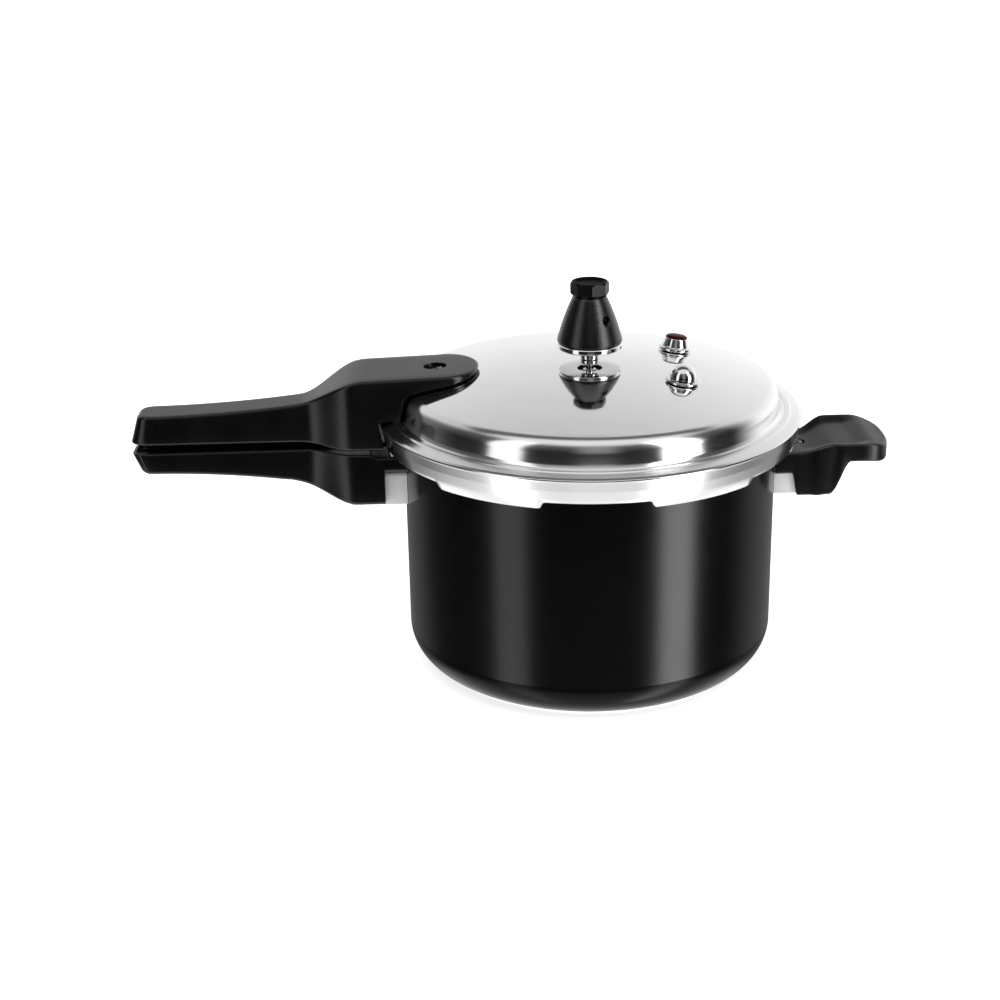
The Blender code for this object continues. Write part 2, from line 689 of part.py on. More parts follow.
def make_safety_plug(lid_axis, frame):
    """Mushroom of dark red silicone; the empty sits on the slide axis."""
    axis = empty("safety_plug_axis", frame, lid_axis)
    profile = [
        (0.0, -10.2 * MM),
        (2.4 * MM, -10.2 * MM),
        (2.85 * MM, -9.4 * MM),
        (2.85 * MM, 7.5 * MM),
        (5.6 * MM, 7.5 * MM),
        (5.7 * MM, 7.8 * MM),
        (4.9 * MM, 8.4 * MM),
        (3.4 * MM, 8.9 * MM),
        (1.7 * MM, 9.15 * MM),
        (0.0, 9.2 * MM),
    ]
    new_object("safety_plug", lathe(profile, SMALL_SEGMENTS), "red_silicone", parent=axis)


def make_relief_valve(lid_axis, frame):
    """Flanged seat, domed cap over it, pin in the bore and a spring above the pin."""
    seat = [
        (2.0 * MM, -9.5 * MM),
        (4.7 * MM, -9.5 * MM),
        (4.7 * MM, 0.4 * MM),
        (8.3 * MM, 0.4 * MM),
        (8.7 * MM, 0.8 * MM),
        (8.7 * MM, 1.4 * MM),
        (8.3 * MM, 1.8 * MM),
        (5.0 * MM, 1.8 * MM),
        (4.6 * MM, 3.4 * MM),
        (2.0 * MM, 3.4 * MM),
    ]
    new_object("relief_valve_seat", lathe(seat, 24), "steel", frame, lid_axis)
    make_nut("relief_valve_nut", 14.0 * MM, 5.0 * MM, -LID_WALL - 4.6 * MM, -LID_WALL - 0.4 * MM,
             frame, lid_axis)
    dome_start = 3.0 * MM
    dome_rise = 6.2 * MM
    angles = (0.0, 20.0, 40.0, 60.0, 78.0)
    cap = [(7.1 * MM, 2.1 * MM)]
    cap += ellipse_points(7.1 * MM, dome_rise, dome_start, angles)
    cap += [(0.0, dome_start + dome_rise), (0.0, dome_start + dome_rise - 1.0 * MM)]
    cap += ellipse_points(6.1 * MM, dome_rise - 1.0 * MM, dome_start, reversed(angles))
    cap += [(6.1 * MM, 2.1 * MM)]
    new_object("relief_valve_cap", lathe(cap, 24), "steel", frame, lid_axis)

    axis = empty("relief_valve_pin_axis", frame, lid_axis)
    pin = [(0.0, -8.5 * MM), (1.5 * MM, -8.5 * MM), (1.5 * MM, 3.7 * MM), (3.0 * MM, 3.7 * MM),
           (3.0 * MM, 4.5 * MM), (1.0 * MM, 4.5 * MM), (1.0 * MM, 6.0 * MM), (0.0, 6.0 * MM)]
    new_object("relief_valve_pin", lathe(pin, 16), "steel", parent=axis)
    new_object("relief_valve_spring", spring(2.1 * MM, 0.3 * MM, 4.95 * MM, 7.3 * MM, 3), "steel",
               frame, lid_axis)


def ellipse_points(radius, rise, base, angles):
    """Outline points of a dome above a base height, angles in degrees."""
    return [(radius * math.cos(math.radians(angle)), base + rise * math.sin(math.radians(angle)))
            for angle in angles]


def spring(coil_radius, wire_radius, bottom, top, turns):
    """Round wire wound as a helix along local Z."""
    steps_per_turn = 10
    wire_sides = 5
    count = int(turns * steps_per_turn)
    sections = []
    for step in range(count + 1):
        angle = 2.0 * math.pi * step / steps_per_turn
        height = bottom + (top - bottom) * step / count
        outward = Vector((math.cos(angle), math.sin(angle), 0.0))
        centre = outward * coil_radius + Vector((0.0, 0.0, height))
        section = []
        for side in range(wire_sides):
            around = 2.0 * math.pi * side / wire_sides
            offset = outward * math.cos(around) + Vector((0.0, 0.0, math.sin(around)))
            section.append(centre + offset * wire_radius)
        sections.append(section)
    return loft(sections)


# ------------------------------------------------------------------- weight

def make_weight(weight_axis):
    base = WEIGHT_BASE_Z
    disc_radius = 17.8 * MM
    core_top = base + 25.2 * MM
    core = [
        (0.0, base + 16.2 * MM + GAP),
        (4.0 * MM, base + 16.2 * MM + GAP),
        (4.0 * MM, base + 7.6 * MM),
        (7.0 * MM, base + 6.2 * MM),
        (7.0 * MM, base),
        (disc_radius - 0.5 * MM, base),
        (disc_radius, base + 0.6 * MM),
        (disc_radius, base + 2.5 * MM),
        (disc_radius - 0.6 * MM, base + 3.1 * MM),
        (9.8 * MM, base + 3.1 * MM),
        (7.9 * MM, core_top),
        (2.6 * MM, core_top),
        (2.6 * MM, base + 33.6 * MM),
        (0.0, base + 33.6 * MM),
    ]
    new_object("weight_core", lathe(core, 24), "steel", parent=weight_axis)
    shroud_bottom = base + 3.1 * MM + GAP
    shroud_top = base + 28.8 * MM
    shroud_low = shroud_bottom + 1.3 * MM
    shroud = [(17.1 * MM, shroud_bottom)]
    for step in range(SHROUD_STEPS + 1):
        share = step / SHROUD_STEPS
        swell = 2.8 * MM * share * (1.0 - share)
        shroud.append((17.6 * MM + (9.0 - 17.6) * MM * share + swell,
                       shroud_low + (shroud_top - shroud_low) * share))
    shroud += [
        (2.9 * MM, shroud_top),
        (2.9 * MM, core_top + GAP),
        (8.25 * MM, core_top + GAP),
        (10.15 * MM, shroud_bottom),
    ]
    shroud_item = new_object("weight_shroud", lathe(shroud, 24), "bakelite", parent=weight_axis)
    turn = Matrix.Rotation(math.radians(WEIGHT_HOLE_AZIMUTH), 4, "Z")
    hole = cylinder_cutter("weight_steam_hole", 2.2 * MM, 9.0 * MM, 25.0 * MM,
                           turn @ along_x(0.0, 0.0, base + WEIGHT_HOLE_RISE), weight_axis, 16)
    modifier_boolean(shroud_item, hole)
    cap_bottom = shroud_top + GAP
    cap_corner = 9.75 * MM / math.cos(math.radians(22.5))
    cap = [
        (9.4 * MM, cap_bottom),
        (cap_corner, cap_bottom + 1.3 * MM),
        (cap_corner, cap_bottom + 6.7 * MM),
        (cap_corner - 0.9 * MM, cap_bottom + 7.3 * MM),
        (0.0, cap_bottom + 7.6 * MM),
    ]
    cap_item = new_object("weight_cap", lathe([(0.0, cap_bottom)] + cap, 8, 22.5 + 3.0), "bakelite",
                          parent=weight_axis, smooth_angle=20.0)
    socket = cylinder_cutter("weight_cap_socket", 2.9 * MM, cap_bottom - 2.0 * MM, base + 33.9 * MM,
                             None, weight_axis)
    modifier_boolean(cap_item, socket)


# --------------------------------------------------------------------- main

def main():
    clear_scene()
    pot = make_pot_body()
    clearance = wall_clearance_cutter()
    handle_cut = cylinder_cutter("handle_wall_clearance", POT_RADIUS + 0.7 * MM, 60.0 * MM, 127.0 * MM,
                                 segments=MAIN_SEGMENTS)
    make_bracket("pot_handle_bracket", -1.0, pot, clearance)
    make_bracket("helper_bracket", 1.0, pot, clearance)
    for prefix, side in (("pot_handle", -1.0), ("helper", 1.0)):
        make_rivet(prefix + "_rivet_1", side, -BRACKET_RIVET_Y)
        make_rivet(prefix + "_rivet_2", side, BRACKET_RIVET_Y)
        head_z = (119.3 if side < 0.0 else 116.6) * MM + GAP
        place = Matrix.Translation((side * BRACKET_SCREW_X, 0.0, head_z))
        make_screw(prefix + "_screw", place, length=head_z - 105.5 * MM)
        nut_place = Matrix.Translation((side * BRACKET_SCREW_X, 0.0, 0.0))
        nut_top = BRACKET_TOP_Z - BRACKET_SHEET - GAP
        make_nut(prefix + "_nut", 8.0 * MM, 2.4 * MM, nut_top - 4.0 * MM, nut_top, nut_place)
    make_pot_handle(handle_cut)
    make_helper_handle(handle_cut)

    lid_axis = empty("lid_axis", Matrix.Identity(4))
    make_lid_shell(lid_axis)
    make_gasket(lid_axis)
    make_lid_handle(lid_axis)
    make_lid_handle_fasteners(lid_axis)
    make_vent_pipe(lid_axis)
    plug_frame = dome_frame(SAFETY_PLUG_RADIUS, SAFETY_PLUG_AZIMUTH)
    make_safety_plug_housing(lid_axis, plug_frame)
    make_safety_plug(lid_axis, plug_frame)
    make_relief_valve(lid_axis, dome_frame(RELIEF_VALVE_RADIUS, RELIEF_VALVE_AZIMUTH))

    weight_axis = empty("weight_axis", Matrix.Identity(4), lid_axis)
    make_weight(weight_axis)


main()
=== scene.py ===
"""Looks for the stovetop pressure cooker: finely turned metal, moulded handles, studio light.

Lengths in this file are millimetres until a mesh is made. The frame is the CAD
part's own: base centre at the origin, +Z up, long handles towards -X.
"""

import math

import bmesh
import bpy
from mathutils import Matrix, Vector


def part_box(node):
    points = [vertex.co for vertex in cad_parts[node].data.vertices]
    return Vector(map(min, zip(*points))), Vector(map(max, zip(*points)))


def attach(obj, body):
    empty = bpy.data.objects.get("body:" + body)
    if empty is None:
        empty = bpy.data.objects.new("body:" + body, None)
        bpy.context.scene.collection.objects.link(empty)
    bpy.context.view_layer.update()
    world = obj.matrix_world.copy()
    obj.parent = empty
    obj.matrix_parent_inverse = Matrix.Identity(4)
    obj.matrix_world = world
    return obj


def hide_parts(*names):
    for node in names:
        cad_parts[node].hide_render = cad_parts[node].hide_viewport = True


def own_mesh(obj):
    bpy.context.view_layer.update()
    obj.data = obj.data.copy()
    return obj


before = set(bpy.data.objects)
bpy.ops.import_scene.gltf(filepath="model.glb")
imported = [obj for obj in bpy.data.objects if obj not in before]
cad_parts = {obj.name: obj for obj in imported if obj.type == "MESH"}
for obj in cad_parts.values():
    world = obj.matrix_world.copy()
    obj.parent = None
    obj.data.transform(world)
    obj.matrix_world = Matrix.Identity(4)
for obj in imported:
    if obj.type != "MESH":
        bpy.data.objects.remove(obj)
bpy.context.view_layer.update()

MM = 0.001


def node_box(name):
    """Lowest and highest corner of a CAD node, in millimetres."""
    low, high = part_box(name)
    return low / MM, high / MM


POT_RIM_Z = node_box("pot_body")[1].z
LUG_BOTTOM_Z = node_box("lid_shell")[0].z
WEIGHT_BASE_Z = node_box("weight_core")[0].z
LID_HANDLE_TIP_X = node_box("lid_handle")[1].x
HEAD_HALF = node_box("pot_handle")[1].y
HELPER_HIGH = node_box("helper_handle")[1]

POT_RADIUS = 102.0
DOME_RADIUS = 398.0
DOME_TOP_Z = 170.0
SHOULDER_RADIUS = 8.0
SHOULDER_WALL = 102.9
FLANGE_Z = 143.0
NOTCH_Z = LUG_BOTTOM_Z + 3.8
LUG_PITCH = 60.0
LUG_PHASE = -2.5
POT_LUG_WIDTH = 28.0
LID_LUG_WIDTH = 32.6
SAFETY_PLUG_RADIUS = 55.2
SAFETY_PLUG_AZIMUTH = 26.3
RELIEF_VALVE_RADIUS = 57.2
RELIEF_VALVE_AZIMUTH = -35.6
WEIGHT_HOLE_AZIMUTH = -53.5
LID_SCREW_RADIUS = 82.4
BRACKET_SCREW_X = 115.3
POT_SCREW_SEAT = 119.6
HELPER_SCREW_SEAT = 116.9
VALVE_NUT_FLATS = 14.0
SCREW_SHANK = 2.1
SCREW_HEAD = 4.2
GRIP_HALF = 11.0
GRIP_END_RADIUS = 7.0
SMOOTH_ANGLE = 32.0


# ----------------------------------------------------------------- materials

class Graph:
    """Short names for building a node tree."""

    def __init__(self, tree):
        self.tree = tree
        self.shader = tree.nodes.get("Principled BSDF")

    def node(self, kind, **settings):
        item = self.tree.nodes.new(kind)
        for key, value in settings.items():
            setattr(item, key, value)
        return item

    def link(self, source, target):
        self.tree.links.new(source, target)

    def drive(self, name, source):
        """Link a texture to one of the shader's sockets."""
        self.link(source, self.shader.inputs[name])

    def feed(self, socket, value):
        if isinstance(value, bpy.types.NodeSocket):
            self.link(value, socket)
        else:
            socket.default_value = value

    def math(self, operation, first, second=0.0):
        item = self.node("ShaderNodeMath", operation=operation)
        self.feed(item.inputs[0], first)
        self.feed(item.inputs[1], second)
        return item.outputs[0]

    def times(self, first, second):
        return self.math("MULTIPLY", first, second)

    def plus(self, first, second):
        return self.math("ADD", first, second)

    def length(self, x, y):
        return self.math("SQRT", self.plus(self.times(x, x), self.times(y, y)))

    def ramp(self, value, low, high, low_out=0.0, high_out=1.0, kind="SMOOTHSTEP"):
        item = self.node("ShaderNodeMapRange", interpolation_type=kind)
        self.feed(item.inputs["Value"], value)
        item.inputs["From Min"].default_value = low
        item.inputs["From Max"].default_value = high
        item.inputs["To Min"].default_value = low_out
        item.inputs["To Max"].default_value = high_out
        return item.outputs["Result"]

    def noise(self, vector, scale, detail=3.0, roughness=0.55):
        item = self.node("ShaderNodeTexNoise")
        self.feed(item.inputs["Vector"], vector)
        item.inputs["Scale"].default_value = scale
        item.inputs["Detail"].default_value = detail
        item.inputs["Roughness"].default_value = roughness
        return item.outputs["Fac"]

    def object_point(self):
        return self.node("ShaderNodeTexCoord").outputs["Object"]

    def split(self, vector):
        item = self.node("ShaderNodeSeparateXYZ")
        self.link(vector, item.inputs[0])
        return item.outputs

    def join(self, x, y, z):
        item = self.node("ShaderNodeCombineXYZ")
        for socket, value in zip(item.inputs, (x, y, z)):
            self.feed(socket, value)
        return item.outputs[0]

    def bump(self, height, strength, distance):
        item = self.node("ShaderNodeBump")
        item.inputs["Strength"].default_value = strength
        item.inputs["Distance"].default_value = distance
        self.link(height, item.inputs["Height"])
        return item.outputs["Normal"]

    def tone(self, factor, first, second):
        """Base colour between two colours."""
        item = self.node("ShaderNodeMix", data_type="RGBA")
        self.feed(item.inputs[0], factor)
        item.inputs[6].default_value = (*first, 1.0)
        item.inputs[7].default_value = (*second, 1.0)
        self.drive("Base Color", item.outputs[2])


def new_material(name):
    material = bpy.data.materials.new(name)
    material.use_nodes = True
    graph = Graph(material.node_tree)
    return material, graph, material.node_tree.nodes["Principled BSDF"]


def turned_lines(graph, scale, stretch=3.0):
    """Fine rings around Z, as polishing on a lathe leaves them."""
    x, y, z = graph.split(graph.object_point())
    radius = graph.length(x, y)
    angle = graph.math("ARCTAN2", y, x)
    turn = graph.times(graph.math("SINE", angle), stretch / scale)
    side = graph.times(graph.math("COSINE", angle), stretch / scale)
    height = graph.plus(radius, graph.times(z, 1.7))
    return graph.noise(graph.join(turn, side, height), scale, 4.0, 0.6)


def polished_metal(name, colour, roughness, ring_strength, smudge, ring_scale=2600.0, across=0.0):
    """Turned metal; across stretches its highlights across the polishing rings."""
    material, graph, shader = new_material(name)
    shader.inputs["Metallic"].default_value = 1.0
    if across > 0.0:
        tangent = graph.node("ShaderNodeTangent", direction_type="RADIAL", axis="Z")
        graph.drive("Tangent", tangent.outputs[0])
        shader.inputs["Anisotropic"].default_value = across
        shader.inputs["Anisotropic Rotation"].default_value = 0.25
    rings = turned_lines(graph, ring_scale)
    clouds = graph.noise(graph.object_point(), 34.0, 4.0, 0.6)
    shade = graph.ramp(clouds, 0.3, 0.75)
    graph.tone(shade, colour, tuple(c * 0.965 for c in colour))
    varied = graph.plus(graph.times(rings, smudge), graph.times(clouds, smudge))
    graph.drive("Roughness", graph.plus(varied, roughness - smudge))
    graph.drive("Normal", graph.bump(rings, ring_strength, 0.00006))
    return material


def plain_metal(name, colour, roughness, grain_scale, grain_strength, metallic=1.0):
    """Metal without rings; a low metallic value gives the pale, scattering bracket sheet."""
    material, graph, shader = new_material(name)
    shader.inputs["Metallic"].default_value = metallic
    grain = graph.noise(graph.object_point(), grain_scale, 3.0, 0.6)
    clouds = graph.noise(graph.object_point(), 60.0, 3.0, 0.55)
    graph.tone(graph.ramp(clouds, 0.3, 0.7), colour, tuple(c * 0.93 for c in colour))
    graph.drive("Roughness",
                graph.ramp(clouds, 0.25, 0.75, roughness * 0.85, roughness * 1.15, "LINEAR"))
    graph.drive("Normal", graph.bump(grain, grain_strength, 0.00005))
    return material


def enamel(name, sheen):
    """Black enamel: deep, soft gloss with a very slight orange-peel."""
    material, graph, shader = new_material(name)
    shader.inputs["Specular IOR Level"].default_value = sheen
    point = graph.object_point()
    peel = graph.noise(point, 420.0, 2.0, 0.5)
    clouds = graph.noise(point, 22.0, 4.0, 0.6)
    shade = graph.ramp(clouds, 0.3, 0.7)
    graph.tone(shade, (0.0016, 0.0017, 0.0021), (0.0021, 0.0022, 0.0026))
    graph.drive("Roughness", graph.ramp(clouds, 0.25, 0.75, 0.20, 0.24, "LINEAR"))
    graph.drive("Normal", graph.bump(peel, 0.05, 0.0001))
    shader.inputs["IOR"].default_value = 1.5
    return material


def bakelite(name, roughness, grain, sheen):
    """Moulded black phenolic: a fine spark-eroded grain with a dull sheen."""
    material, graph, shader = new_material(name)
    shader.inputs["Specular IOR Level"].default_value = sheen
    point = graph.object_point()
    fine = graph.noise(point, 1500.0, 2.0, 0.6)
    broad = graph.noise(point, 45.0, 4.0, 0.6)
    shade = graph.ramp(broad, 0.3, 0.72)
    graph.tone(shade, (0.0009, 0.0009, 0.0012), (0.0018, 0.0018, 0.0022))
    varied = graph.plus(graph.times(fine, 0.10), graph.times(broad, 0.08))
    graph.drive("Roughness", graph.plus(varied, roughness - 0.09))
    graph.drive("Normal", graph.bump(fine, grain, 0.00012))
    return material


def rubber(name, colour, roughness):
    material, graph, shader = new_material(name)
    point = graph.object_point()
    speck = graph.noise(point, 700.0, 3.0, 0.6)
    shade = graph.ramp(speck, 0.35, 0.7)
    graph.tone(shade, colour, tuple(c * 1.35 for c in colour))
    graph.drive("Roughness",
                graph.ramp(speck, 0.3, 0.7, roughness * 0.9, roughness * 1.1, "LINEAR"))
    graph.drive("Normal", graph.bump(speck, 0.08, 0.0001))
    return material


ENAMEL = enamel("black_enamel", 0.5)
# Painted shade: the rounded foot gets a copy of the enamel with much lower sheen, so it mirrors
# less and reads dark, standing in for the shaded floor it would reflect.
SHADED_FOOT_ENAMEL = enamel("black_enamel_foot_painted_shade", 0.13)
DOME_METAL = polished_metal("lid_polished_aluminium", (0.86, 0.86, 0.865), 0.06, 0.08, 0.02)
SHOULDER_METAL = polished_metal("lid_satin_aluminium", (0.86, 0.86, 0.865), 0.18, 0.10, 0.03,
                                across=0.8)
SKIRT_METAL = polished_metal("lid_brushed_aluminium", (0.92, 0.92, 0.925), 0.22, 0.16, 0.05,
                             ring_scale=2200.0, across=0.6)
POT_METAL = polished_metal("pot_bare_aluminium", (0.80, 0.80, 0.81), 0.30, 0.3, 0.06,
                           ring_scale=1500.0, across=0.5)
BRACKET_METAL = plain_metal("bracket_satin_aluminium", (0.92, 0.92, 0.925), 0.5, 900.0, 0.1,
                            metallic=0.15)
CHROME = plain_metal("polished_steel", (0.84, 0.84, 0.85), 0.06, 600.0, 0.02)
STEEL = plain_metal("turned_steel", (0.66, 0.66, 0.67), 0.2, 900.0, 0.08)
BLACK_STEEL = plain_metal("blackened_steel", (0.12, 0.12, 0.125), 0.22, 900.0, 0.08)
HANDLE = bakelite("moulded_bakelite", 0.28, 0.24, 0.55)
HANDLE_TOP = bakelite("moulded_bakelite_top", 0.31, 0.30, 0.24)
HELPER_PLASTIC = bakelite("helper_bakelite", 0.33, 0.8, 0.60)
HELPER_TOP = bakelite("helper_bakelite_top", 0.34, 0.45, 0.18)
WEIGHT_PLASTIC = bakelite("weight_bakelite", 0.29, 0.55, 0.72)
CAP_PLASTIC = bakelite("weight_cap_matt", 0.5, 0.30, 0.04)
GASKET = rubber("gasket_rubber", (0.05, 0.05, 0.052), 0.6)
RED = rubber("dark_red_silicone", (0.030, 0.0006, 0.0013), 0.30)
RED.node_tree.nodes["Principled BSDF"].inputs["Specular IOR Level"].default_value = 0.07


# ------------------------------------------------------------- mesh building

def finish_mesh(name, data, materials, body, replaces, smooth_angle=SMOOTH_ANGLE):
    """Turn a bmesh in millimetres into a named, shaded piece that rides on its body.

    With no body it is a plain object: the floor, or a tool for carve.
    """
    bmesh.ops.recalc_face_normals(data, faces=data.faces)
    bmesh.ops.scale(data, vec=(MM, MM, MM), verts=data.verts)
    mesh = bpy.data.meshes.new(name)
    data.to_mesh(mesh)
    data.free()
    item = bpy.data.objects.new(name, mesh)
    bpy.context.scene.collection.objects.link(item)
    for material in materials:
        mesh.materials.append(material)
    mesh.shade_smooth()
    mesh.set_sharp_from_angle(angle=math.radians(smooth_angle))
    if body is not None:
        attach(item, body)
        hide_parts(*replaces)
    return item


def bridge(data, ring_a, ring_b, material_index=0):
    """Join two closed rings of vertices by faces; a ring of one vertex is a point."""
    count = max(len(ring_a), len(ring_b))
    for index in range(count):
        following = (index + 1) % count
        if len(ring_a) == 1:
            corners = (ring_a[0], ring_b[index], ring_b[following])
        elif len(ring_b) == 1:
            corners = (ring_a[index], ring_b[0], ring_a[following])
        else:
            corners = (ring_a[index], ring_b[index], ring_b[following], ring_a[following])
        data.faces.new(corners).material_index = material_index


def turned(profile, segments, matrix=None, phase=0.0, squeeze=None):
    """Turn an outline about Z; squeeze(radius, height, angle) may change each point."""
    data = bmesh.new()
    rings = []
    for radius, height in profile:
        if radius == 0.0:
            points = [Vector((0.0, 0.0, height))]
        else:
            points = []
            for index in range(segments):
                angle = 2.0 * math.pi * index / segments + math.radians(phase)
                local = squeeze(radius, height, angle) if squeeze else (radius, height)
                points.append(Vector((local[0] * math.cos(angle),
                                      local[0] * math.sin(angle), local[1])))
        if matrix is not None:
            points = [matrix @ point for point in points]
        rings.append([data.verts.new(point) for point in points])
    for ring_a, ring_b in zip(rings, rings[1:]):
        if len(ring_a) > 1 or len(ring_b) > 1:
            bridge(data, ring_a, ring_b)
    if profile[0][0] > 0.0:
        bridge(data, rings[-1], rings[0])
    return data


def arc(centre_radius, centre_height, radius, start, end, steps):
    """Points of a circle's arc in an outline's plane; angles in degrees."""
    points = []
    for index in range(steps + 1):
        angle = math.radians(start + (end - start) * index / steps)
        points.append((centre_radius + radius * math.cos(angle),
                       centre_height + radius * math.sin(angle)))
    return points


def rounded(points, radii, steps=4):
    """Replace the corners of an open outline by arcs; radii has one entry per inner corner."""
    result = [points[0]]
    for index in range(1, len(points) - 1):
        corner = Vector(points[index])
        radius = radii[index - 1]
        before = Vector(points[index - 1]) - corner
        after = Vector(points[index + 1]) - corner
        if radius <= 0.0:
            result.append(tuple(corner))
            continue
        angle = before.angle(after)
        reach = min(radius / math.tan(angle / 2.0), before.length * 0.49, after.length * 0.49)
        start = corner + before.normalized() * reach
        stop = corner + after.normalized() * reach
        for step in range(steps + 1):
            share = step / steps
            point = start.lerp(corner, share).lerp(corner.lerp(stop, share), share)
            result.append(tuple(point))
    result.append(points[-1])
    return result


def on_circle(radius, azimuth, height):
    angle = math.radians(azimuth)
    return (radius * math.cos(angle), radius * math.sin(angle), height)


def smooth_step(start, end, x):
    """0 before start, 1 after end; start may also be the larger one."""
    share = min(1.0, max(0.0, (x - start) / (end - start)))
    return share * share * (3.0 - 2.0 * share)


def blend(start, end, low, high, x):
    return low + (high - low) * smooth_step(start, end, x)


def dome_height(radius):
    return DOME_TOP_Z - DOME_RADIUS + math.sqrt(DOME_RADIUS ** 2 - radius ** 2)


def dome_frame(radius, azimuth):
    """Frame on the dome's outer face, in millimetres: Z along the normal."""
    tilt = math.asin(radius / DOME_RADIUS)
    turn = Matrix.Rotation(math.radians(azimuth), 4, "Z")
    place = Matrix.Translation((radius, 0.0, dome_height(radius)))
    return turn @ place @ Matrix.Rotation(tilt, 4, "Y")


def along_x(x, y, z, direction=1.0):
    """Frame whose Z runs along +X, or along -X where direction is -1."""
    return Matrix.Translation((x, y, z)) @ Matrix.Rotation(direction * math.pi / 2.0, 4, "Y")


def cylinder(radius, low, high, segments, matrix=None):
    """Closed cylinder about Z, for cutting."""
    return turned([(0.0, low), (radius, low), (radius, high), (0.0, high)], segments, matrix)


def box_data(low, high):
    """Closed box between two corners, for cutting."""
    data = bmesh.new()
    bmesh.ops.create_cube(data, size=1.0)
    for vertex in data.verts:
        for axis in range(3):
            vertex.co[axis] = low[axis] + (vertex.co[axis] + 0.5) * (high[axis] - low[axis])
    return data


def carve(item, cutters, bevel=0.0, bevel_angle=38.0):
    """Cut shapes away for good, with an optional small round on every edge that is sharp."""
    tools = []
    for index, data in enumerate(cutters):
        tool = finish_mesh(f"{item.name}_tool_{index}", data, [], None, ())
        modifier = item.modifiers.new(tool.name, "BOOLEAN")
        modifier.operation = "DIFFERENCE"
        modifier.solver = "EXACT"
        modifier.object = tool
        tools.append(tool)
    if bevel > 0.0:
        modifier = item.modifiers.new("edge_round", "BEVEL")
        modifier.limit_method = "ANGLE"
        modifier.angle_limit = math.radians(bevel_angle)
        modifier.width = bevel * MM
        modifier.segments = 2
        modifier.use_clamp_overlap = True
    bpy.context.view_layer.update()
    evaluated = item.evaluated_get(bpy.context.evaluated_depsgraph_get())
    mesh = bpy.data.meshes.new_from_object(evaluated)
    item.modifiers.clear()
    item.data = mesh
    mesh.shade_smooth()
    mesh.set_sharp_from_angle(angle=math.radians(SMOOTH_ANGLE))
    for tool in tools:
        bpy.data.objects.remove(tool, do_unlink=True)


# ----------------------------------------------------------------------- pot

def lug_share(azimuth, width, fade=1.6):
    """1 on a bayonet lug, 0 in a gap, easing over the rounded ends; angles in degrees."""
    offset = (azimuth - LUG_PHASE + LUG_PITCH / 2.0) % LUG_PITCH - LUG_PITCH / 2.0
    return 1.0 - smooth_step(width / 2.0 - fade, width / 2.0, abs(offset))


def make_pot():
    """Drawn pot: bare base and inside, black outside, rounded foot, six lugs and a beaded rim."""
    floor = 4.0
    inner = POT_RADIUS - 3.0
    inner_corner = 17.6
    corner = 20.6
    lug_low = 128.2
    lug_high = 131.2
    bead = POT_RADIUS + 2.3
    outside, bare, foot, lug = 0, 1, 2, 9
    outline = [(0.0, 0.9, bare), (62.0, 0.9, bare), (64.0, 0.0, bare), (81.4, 0.0, bare)]
    outline += [(r, z, bare if z < 0.9 else outside)
                for r, z in arc(81.4, corner, corner, -90.0, 0.0, 24)[1:]]
    outline += [(POT_RADIUS, lug_low - 1.5, outside), (POT_RADIUS, lug_low, lug),
                (POT_RADIUS + 5.6, lug_low, lug), (POT_RADIUS + 6.0, lug_low + 0.5, lug),
                (POT_RADIUS + 6.0, lug_high - 0.5, lug), (POT_RADIUS + 5.6, lug_high, lug),
                (POT_RADIUS + 0.5, lug_high, outside), (bead, lug_high + 2.8, outside),
                (bead, POT_RIM_Z - 0.8, outside), (bead - 0.3, POT_RIM_Z - 0.2, outside),
                (bead - 0.9, POT_RIM_Z, bare), (inner + 0.8, POT_RIM_Z, bare),
                (inner + 0.2, POT_RIM_Z - 0.2, bare), (inner, POT_RIM_Z - 0.8, bare)]
    outline += [(r, z, bare) for r, z in arc(inner - inner_corner, floor + inner_corner,
                                             inner_corner, 0.0, -90.0, 12)]
    outline += [(0.0, floor, bare)]
    steps = 360
    data = bmesh.new()
    rings = []
    for radius, height, band in outline:
        if radius == 0.0:
            rings.append([data.verts.new((0.0, 0.0, height))])
            continue
        ring = []
        for index in range(steps):
            azimuth = 360.0 * index / steps
            local = radius
            if band == lug:
                share = lug_share(azimuth, POT_LUG_WIDTH)
                local = POT_RADIUS + 0.02 + (radius - POT_RADIUS) * share
            ring.append(data.verts.new(on_circle(local, azimuth, height)))
        rings.append(ring)
    for index, (ring_a, ring_b) in enumerate(zip(rings, rings[1:])):
        # Faces up to the top of the rounded foot take the low-sheen enamel: painted shade on the
        # pot's lower corner.
        finish = foot if outline[index + 1][1] <= corner + 0.01 else outside
        bridge(data, ring_a, ring_b, bare if outline[index][2] == bare else finish)
    finish_mesh("pot_body_turned", data, [ENAMEL, POT_METAL, SHADED_FOOT_ENAMEL], "pot", ["pot_body"])


